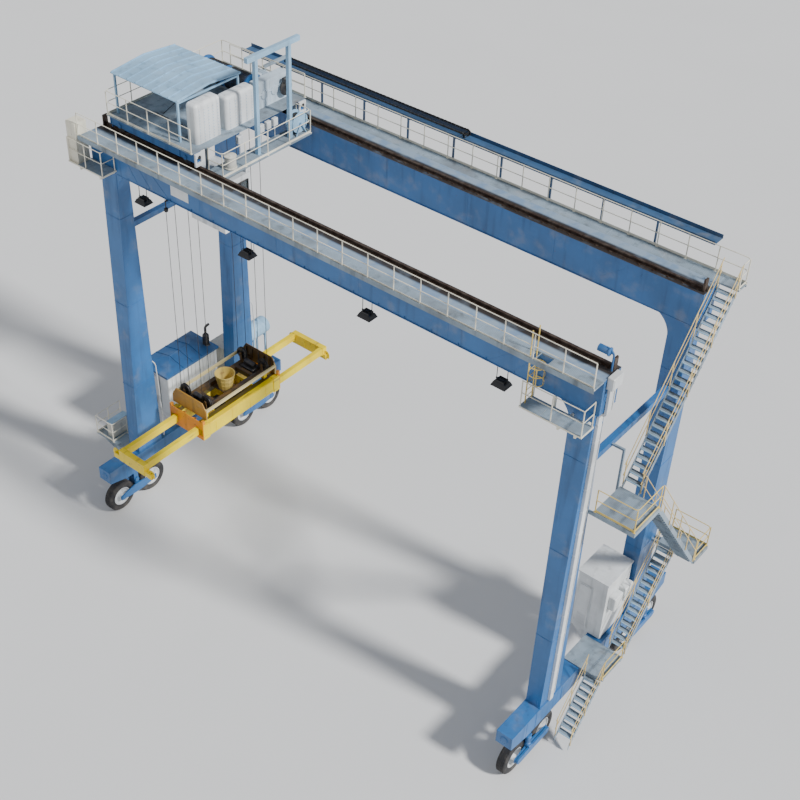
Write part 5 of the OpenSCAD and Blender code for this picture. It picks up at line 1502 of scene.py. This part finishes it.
class CRANE_OT_cab(bpy.types.Operator):
    """Window rims, panes and seat of the operator's cab"""

    bl_idname = "crane.cab"
    bl_label = "Operator's cab"

    def execute(self, context):
        """A window's rim is a flat bar carried round its opening, whose corners are an end
        of the wall and a height, and two more bars stand at thirds of its width."""
        low, high = node_box("operator_cab") - X * TROLLEY_X
        rims, panes, seat = pieces(3, "trolley")
        bar, top = strip(-0.018, 0.018, -0.03, 0.03), high[2] - 0.55
        for axis, face, sill in ((0, low[0], 0.5), (1, high[1], 0.5), (0, high[0], 0.9)):
            foot = low[2] + sill
            out, across = np.eye(3)[axis], np.eye(3)[1 - axis]
            ends = (low[1 - axis] + 0.15, high[1 - axis] - 0.15)
            turns = at((0, foot), (1, foot), (1, top), (0, top), (0, foot))
            path = out * face + across * np.take(ends, turns[:, :1].astype(int)) + Z * turns[:, 1:]
            for side in zip(path[:-1], path[1:]):
                rims.along(side, bar, out)
            for share in (1 / 3, 2 / 3):
                spot = path[0] + (path[1] - path[0]) * share
                rims.along([spot, spot + Z * (top - foot)], bar, out)
            pane = 0.025 if face in low else -0.025
            panes.blocks(path[0] + out * (pane - 0.005), path[2] + out * (pane + 0.005), 0.002)
        rims.finish("cab_window_rims", "lamp_housing")
        panes.finish("cab_panes", "white_paint", look="window_glass")
        base = at((low[0] + high[0]) / 2 + 0.2, (low[1] + high[1]) / 2, low[2] + 0.05)
        seat.turned([(0.2, 0.0), (0.2, 0.03), (0.05, 0.06), (0.05, 0.38), (0.16, 0.4)], base, Z, 24)
        seat.loft(cushion(0.26, 0.25, 0.07) + base + Z * 0.47)
        seat.loft(cushion(0.06, 0.24, 0.34) + base + [0.27, 0.0, 0.86])
        for side in SIDES:
            rest = base + Y * side * 0.30
            seat.slabs(rest, 0.22, 0.07, 0.42, 0.66, 0.03)
            seat.bars(rest + [-0.12, 0, 0.64], rest + [-0.14, 0, 0.8], 0.03)
        seat.finish("cab_seat", "lamp_housing")
        return {"FINISHED"}


# Spreader


def head_block():
    """Ribs and a rolled rim on the shields, and covers on the sheaves' cheeks."""
    piece = Piece("spreader")
    outline = [(-1.1, 0.0), (-1.1, 0.44), (-0.865, 0.86), (0.865, 0.86), (1.1, 0.44), (1.1, 0.0)]
    for side in SIDES:
        y = side * (HEAD_HALF - 0.04)
        low = grid3(np.linspace(-0.8, 0.8, 5), y, HEAD_Z + 0.05)
        piece.blocks(low - X * 0.012, low + [0.012, -side * 0.07, 0.72], 0.004)
        piece.tube(bent([(x, y, HEAD_Z + z) for x, z in outline], 0.06, 4), 0.05, 8, Y)
        for end, out in CORNERS:
            sheave = at(side * SHEAVE_X, end * SHEAVE_Y, LOWER_SHEAVE_Z)
            piece.turned([(0.07, 0.0), (0.07, 0.012), (0.05, 0.02)], sheave + Y * out * 0.13, Y * out, 20)
            webs = sheave + grid3((-0.07, 0.07), out * 0.11, 0.26 + HEAD_Z - LOWER_SHEAVE_Z)
            piece.slabs(webs, 0.01, 0.02, 0, 0.26, 0.003)
    piece.finish("head_block_ribs", "ochre_paint")


def head_gear():
    """Hoist trim cylinders on the head block, with their hoses, and its corner pins."""
    piece = Piece("spreader")
    for side in SIDES:
        low = at(-0.42, side * 1.72 - 0.28, HEAD_Z)
        piece.blocks(low, low + [0.84, 0.56, 0.34], 0.03)
        cylinder = [(0.1, -0.33), (0.14, -0.3), (0.14, 0.3), (0.1, 0.33)]
        piece.turned(cylinder, low + [0.42, 0.28, 0.46], X, 24)
        hose = [[0.84, 0.1, 0.2], [1.05, 0.1, 0.32], [1.05, -side * 0.8, 0.35], [0.8, -side * 1.2, 0.1]]
        piece.tube(bent(low + hose, 0.2), 0.035, 8)
        for x in (-0.62, 0.62):
            pin = [(0.1, 0.0), (0.1, 0.04), (0.07, 0.06), (0.07, 0.3)]
            piece.turned(pin, (x, side * 2.0, TUBE_TOP), Z, 20)
    piece.finish("head_block_gear", "wheel_steel")


def spreader_basket():
    """The cable basket with its hoops and slanted bars: radius 0.33 + 0.1875 height."""
    piece = Piece("spreader")
    foot = Z * (HEAD_Z + 0.04)
    shell = [(0.02, 0.0), (0.33, 0.0), (0.48, 0.8), (0.462, 0.8), (0.316, 0.02), (0.02, 0.02)]
    piece.turned(shell, foot, Z, 48, True)
    for level in (0.27, 0.53, 0.785):
        hoop = strip(0.0, 0.016, -0.02, 0.02) + [0.33 + 0.1875 * level, level]
        piece.turned(hoop, foot, Z, 40, True)
    piece.bars(foot + around(0.34, 16, 2), foot + around(0.485, 16, 2, 0.79), 0.018, 6)
    piece.finish("spreader_basket", "spreader_paint", ["cable_basket"], look="basket_paint")


def main_frame(bolt):
    """Stiffeners on the flanks, grease plates on the collars and bolts on the end
    plates of the main frame."""
    piece, plates = pieces(2, "spreader")
    for side in SIDES:
        flank = X * side * FRAME_HALF_W
        inner, outer = -side * 0.004, side * 0.014
        for y in (-1.7, -0.6, 0.6, 1.7):
            low, high = [inner, y - 0.05, TUBE_Z + 0.01], [outer, y + 0.05, TUBE_TOP - 0.01]
            piece.blocks(flank + low, flank + high, 0.003)
        rail = flank + Z * (TUBE_TOP - 0.09)
        piece.blocks(rail + [inner, -2.15, 0], rail + [side * 0.03, 2.15, 0.05], 0.004)
        pads = flank + grid3(-side * 0.1, (0.2 - MAIN_HALF, MAIN_HALF - 0.2), TUBE_TOP + 0.04)
        piece.slabs(pads, 0.1, 0.15, -0.002, 0.018, 0.004)
        for corner in ((0.07, 0.11), (-0.07, 0.11), (0.07, -0.11), (-0.07, -0.11)):
            piece.bolts(pads + [*corner, 0.018], Z, bolt * 0.7)
    piece.finish("frame_plates", "spreader_paint")
    for end, side in CORNERS:
        rows = grid3(side * at(0.55, 0.66, 0.77, 0.88, 0.99), end * (MAIN_HALF + 0.03), (4.68, 5.26))
        plates.bolts(rows, Y * end, bolt * 0.8)
        brace = at(side * 0.35, end * MAIN_HALF, TUBE_TOP - 0.02)
        lean = brace + [[0, 0, 0], [0, -end * 0.34, 0], [0, -end * 0.03, 0.24], [0, 0, 0.24]]
        plates.loft([lean - X * 0.01, lean + X * 0.01])
    plates.finish("end_plate_bolts", "orange_paint")


def power_pack():
    """Oil tank, pump motor and valve block on a tray between the box beams."""
    tray, pack = pieces(2, "spreader")
    deck = Z * (TUBE_Z + 0.1)
    tray.slabs(deck, 0.585, 1.27, -0.02, 0, 0.003)
    tray.finish("power_pack_tray", "spreader_paint")
    pack.blocks(deck + [-0.42, -1.1, 0], deck + [0.02, -0.2, 0.42], 0.03)
    pack.turned([(0.07, 0.0), (0.07, 0.05), (0.05, 0.07)], deck + [-0.2, -0.65, 0.42], Z, 20)
    motor = deck + [0.28, -0.65, 0.2]
    shell = [(0.09, -0.4), (0.15, -0.36), (0.15, 0.24), (0.17, 0.26), (0.17, 0.3), (0.06, 0.32)]
    pack.turned(shell, motor, Y, 28)
    fins = motor + around(0.15, 18, 1)
    pack.bars(fins - Y * 0.32, fins + Y * 0.2, 0.014, 6)
    pack.blocks(deck + [-0.2, 0.25, 0], deck + [0.3, 0.85, 0.26], 0.02)
    valves = grid3((-0.12, 0.05, 0.22), (0.35, 0.55, 0.75), 0.26) + deck
    pack.bolts(valves, Z, 0.1, 0.09, 12)
    for x in (-0.1, 0.0, 0.1):
        hose = [[x, 0.85, 0.12], [x, 1.15, 0.14], [x * 2, 1.2, 0.4], [x * 3, 1.3, 0.5]]
        pack.tube(bent(deck + hose, 0.15), 0.03, 8, X)
    pack.finish("spreader_power_pack", "wheel_steel")


def arm_fittings(name, body, side, x, bolt):
    """Twistlock housings, corner guides and bolted end plates that move with one
    pair of arms."""
    piece = Piece(body)
    beam = side * (LOCK_Y - 0.14)
    for edge in SIDES:
        spot = at(edge * LOCK_X, side * LOCK_Y, LOCK_Z)
        piece.slabs(spot, 0.105, 0.105, 0.0, 0.012, 0.004)
        piece.turned([(0.045, 0.29), (0.045, 0.35), (0.03, 0.37)], spot, Z, 20)
        hip = spot + [edge * 0.05, 0, 0.31]
        bends = at((-0.1, 0, 0.02), (0.04, 0, 0.1), (0.11, 0, -0.02), (0.10, 0, -0.24)) * [edge, 1, 1]
        piece.along(bent(hip + bends, 0.08), strip(-0.10, 0.10, -0.012, 0.012), Y)
        tie = at(edge * x, beam, ARM_Z[0] - 0.04)
        piece.blocks(tie - X * 0.13, tie + [0.13, -side * 0.03, 0.42], 0.005)
        heads = tie + at((-0.118, 0.06), (0.118, 0.06), (-0.118, 0.36), (0.118, 0.36)) @ [X, Z]
        piece.bolts(heads - Y * side * 0.03, -Y * side, bolt * 0.4)
    low = grid3(np.linspace(-0.6, 0.6, 4), beam, ARM_Z[0] - 0.2)
    piece.blocks(low + [-0.01, side * 0.004, 0], low + [0.01, -side * 0.012, 0.56], 0.003)
    piece.finish(name, "spreader_paint")


class CRANE_OT_spreader(bpy.types.Operator):
    """Ribs, trim cylinders, basket, plates, power pack, twistlocks and corner guides"""

    bl_idname = "crane.spreader"
    bl_label = "Spreader"

    def execute(self, context):
        bolt = context.scene.crane_sizes.bolt
        head_block()
        head_gear()
        spreader_basket()
        main_frame(bolt)
        power_pack()
        arm_fittings("far_arm_fittings", "far_arm", 1, FAR_ARM_X, bolt)
        arm_fittings("near_arm_fittings", "near_arm", -1, NEAR_ARM_X, bolt)
        return {"FINISHED"}


# Painting and stage


class CRANE_OT_finishes(bpy.types.Operator):
    """Paints every node of the frame in its slot's finish"""

    bl_idname = "crane.finishes"
    bl_label = "Finishes"

    def execute(self, context):
        make_finishes(context.scene.crane_colours)
        for part in frame["record"]["subparts"]:
            node = frame["nodes"][part["node"]]
            finish = FINISHES[part["material_slot"]]
            if not node.material_slots:
                node.data.materials.append(finish)
            for place in node.material_slots:
                place.material = finish
        return {"FINISHED"}


def add_sun(name, towards, strength, spread):
    """A broad distant light that shines from a direction."""
    lamp = bpy.data.lights.new(name, "SUN")
    lamp.energy = strength
    lamp.angle = math.radians(spread)
    holder = bpy.data.objects.new(name, lamp)
    holder.rotation_mode = "QUATERNION"
    holder.rotation_quaternion = Vector(towards).to_track_quat("Z", "Y")
    bpy.context.scene.collection.objects.link(holder)


def add_camera(scene):
    """Heading and pitch turn the view; roll tilts it a little, as in the photograph."""
    heading, pitch, roll = (math.radians(angle) for angle in CAMERA_TURN)
    across = math.cos(pitch)
    ahead = Vector((math.cos(heading) * across, math.sin(heading) * across, -math.sin(pitch)))
    level = ahead.cross(Vector((0, 0, 1))).normalized()
    right = level * math.cos(roll) + level.cross(ahead) * math.sin(roll)
    lens = bpy.data.cameras.new("camera")
    lens.lens = scene.crane_sizes.lens
    lens.clip_end = 2000
    camera = bpy.data.objects.new("camera", lens)
    scene.collection.objects.link(camera)
    turn = Matrix((right, right.cross(ahead), -ahead)).transposed().to_4x4()
    camera.matrix_world = Matrix.Translation(CAMERA_PLACE) @ turn
    scene.camera = camera


class CRANE_OT_stage(bpy.types.Operator):
    """Pale floor, soft light and the camera at the photograph's angle"""

    bl_idname = "crane.stage"
    bl_label = "Stage"

    def execute(self, context):
        scene = context.scene
        reach = 600.0
        floor = bpy.data.meshes.new("floor")
        corners = np.insert(strip(-reach, reach, -reach, reach), 2, -0.002, axis=1)
        floor.from_pydata(corners.tolist(), [], [(0, 1, 2, 3)])
        floor.materials.append(floor_finish())
        ground = bpy.data.objects.new("floor", floor)
        scene.collection.objects.link(ground)
        world = bpy.data.worlds.new("soft_sky")
        world.use_nodes = True
        sky = world.node_tree.nodes["Background"].inputs
        sky["Color"].default_value = (0.86, 0.90, 1.0, 1)
        sky["Strength"].default_value = 0.42
        scene.world = world
        add_sun("key_light", (0.80, 0.10, 0.70), 4.6, 7)
        add_sun("fill_light", (-0.35, -0.9, 0.55), 0.32, 60)
        add_camera(scene)
        return {"FINISHED"}


OPERATORS = (
    CRANE_OT_stage,
    CRANE_OT_finishes,
    CRANE_OT_girders,
    CRANE_OT_legs,
    CRANE_OT_tyres,
    CRANE_OT_drives,
    CRANE_OT_stairs,
    CRANE_OT_railings,
    CRANE_OT_chain,
    CRANE_OT_houses,
    CRANE_OT_lamps,
    CRANE_OT_ropes,
    CRANE_OT_machinery,
    CRANE_OT_cab,
    CRANE_OT_spreader,
)


class CRANE_PT_panel(bpy.types.Panel):
    """Lists the crane's settings and the operators that make its pieces"""

    bl_idname = "CRANE_PT_panel"
    bl_label = "Gantry Crane"
    bl_space_type = "VIEW_3D"
    bl_region_type = "UI"
    bl_category = "Crane"

    def draw(self, context):
        for group in (context.scene.crane_sizes, context.scene.crane_colours):
            for name in group.bl_rna.properties.keys():
                if name not in ("rna_type", "name"):
                    self.layout.prop(group, name)
        for operator in OPERATORS:
            self.layout.operator(operator.bl_idname)


CLASSES = (CraneSizes, CraneColours, *OPERATORS, CRANE_PT_panel)


def register():
    for made in CLASSES:
        bpy.utils.register_class(made)
    bpy.types.Scene.crane_sizes = PointerProperty(type=CraneSizes)
    bpy.types.Scene.crane_colours = PointerProperty(type=CraneColours)


def unregister():
    del bpy.types.Scene.crane_colours
    del bpy.types.Scene.crane_sizes
    for made in reversed(CLASSES):
        bpy.utils.unregister_class(made)


def main():
    """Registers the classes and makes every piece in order."""
    register()
    for operator in OPERATORS:
        group, name = operator.bl_idname.split(".")
        getattr(getattr(bpy.ops, group), name)()


if __name__ == "__main__":
    main()
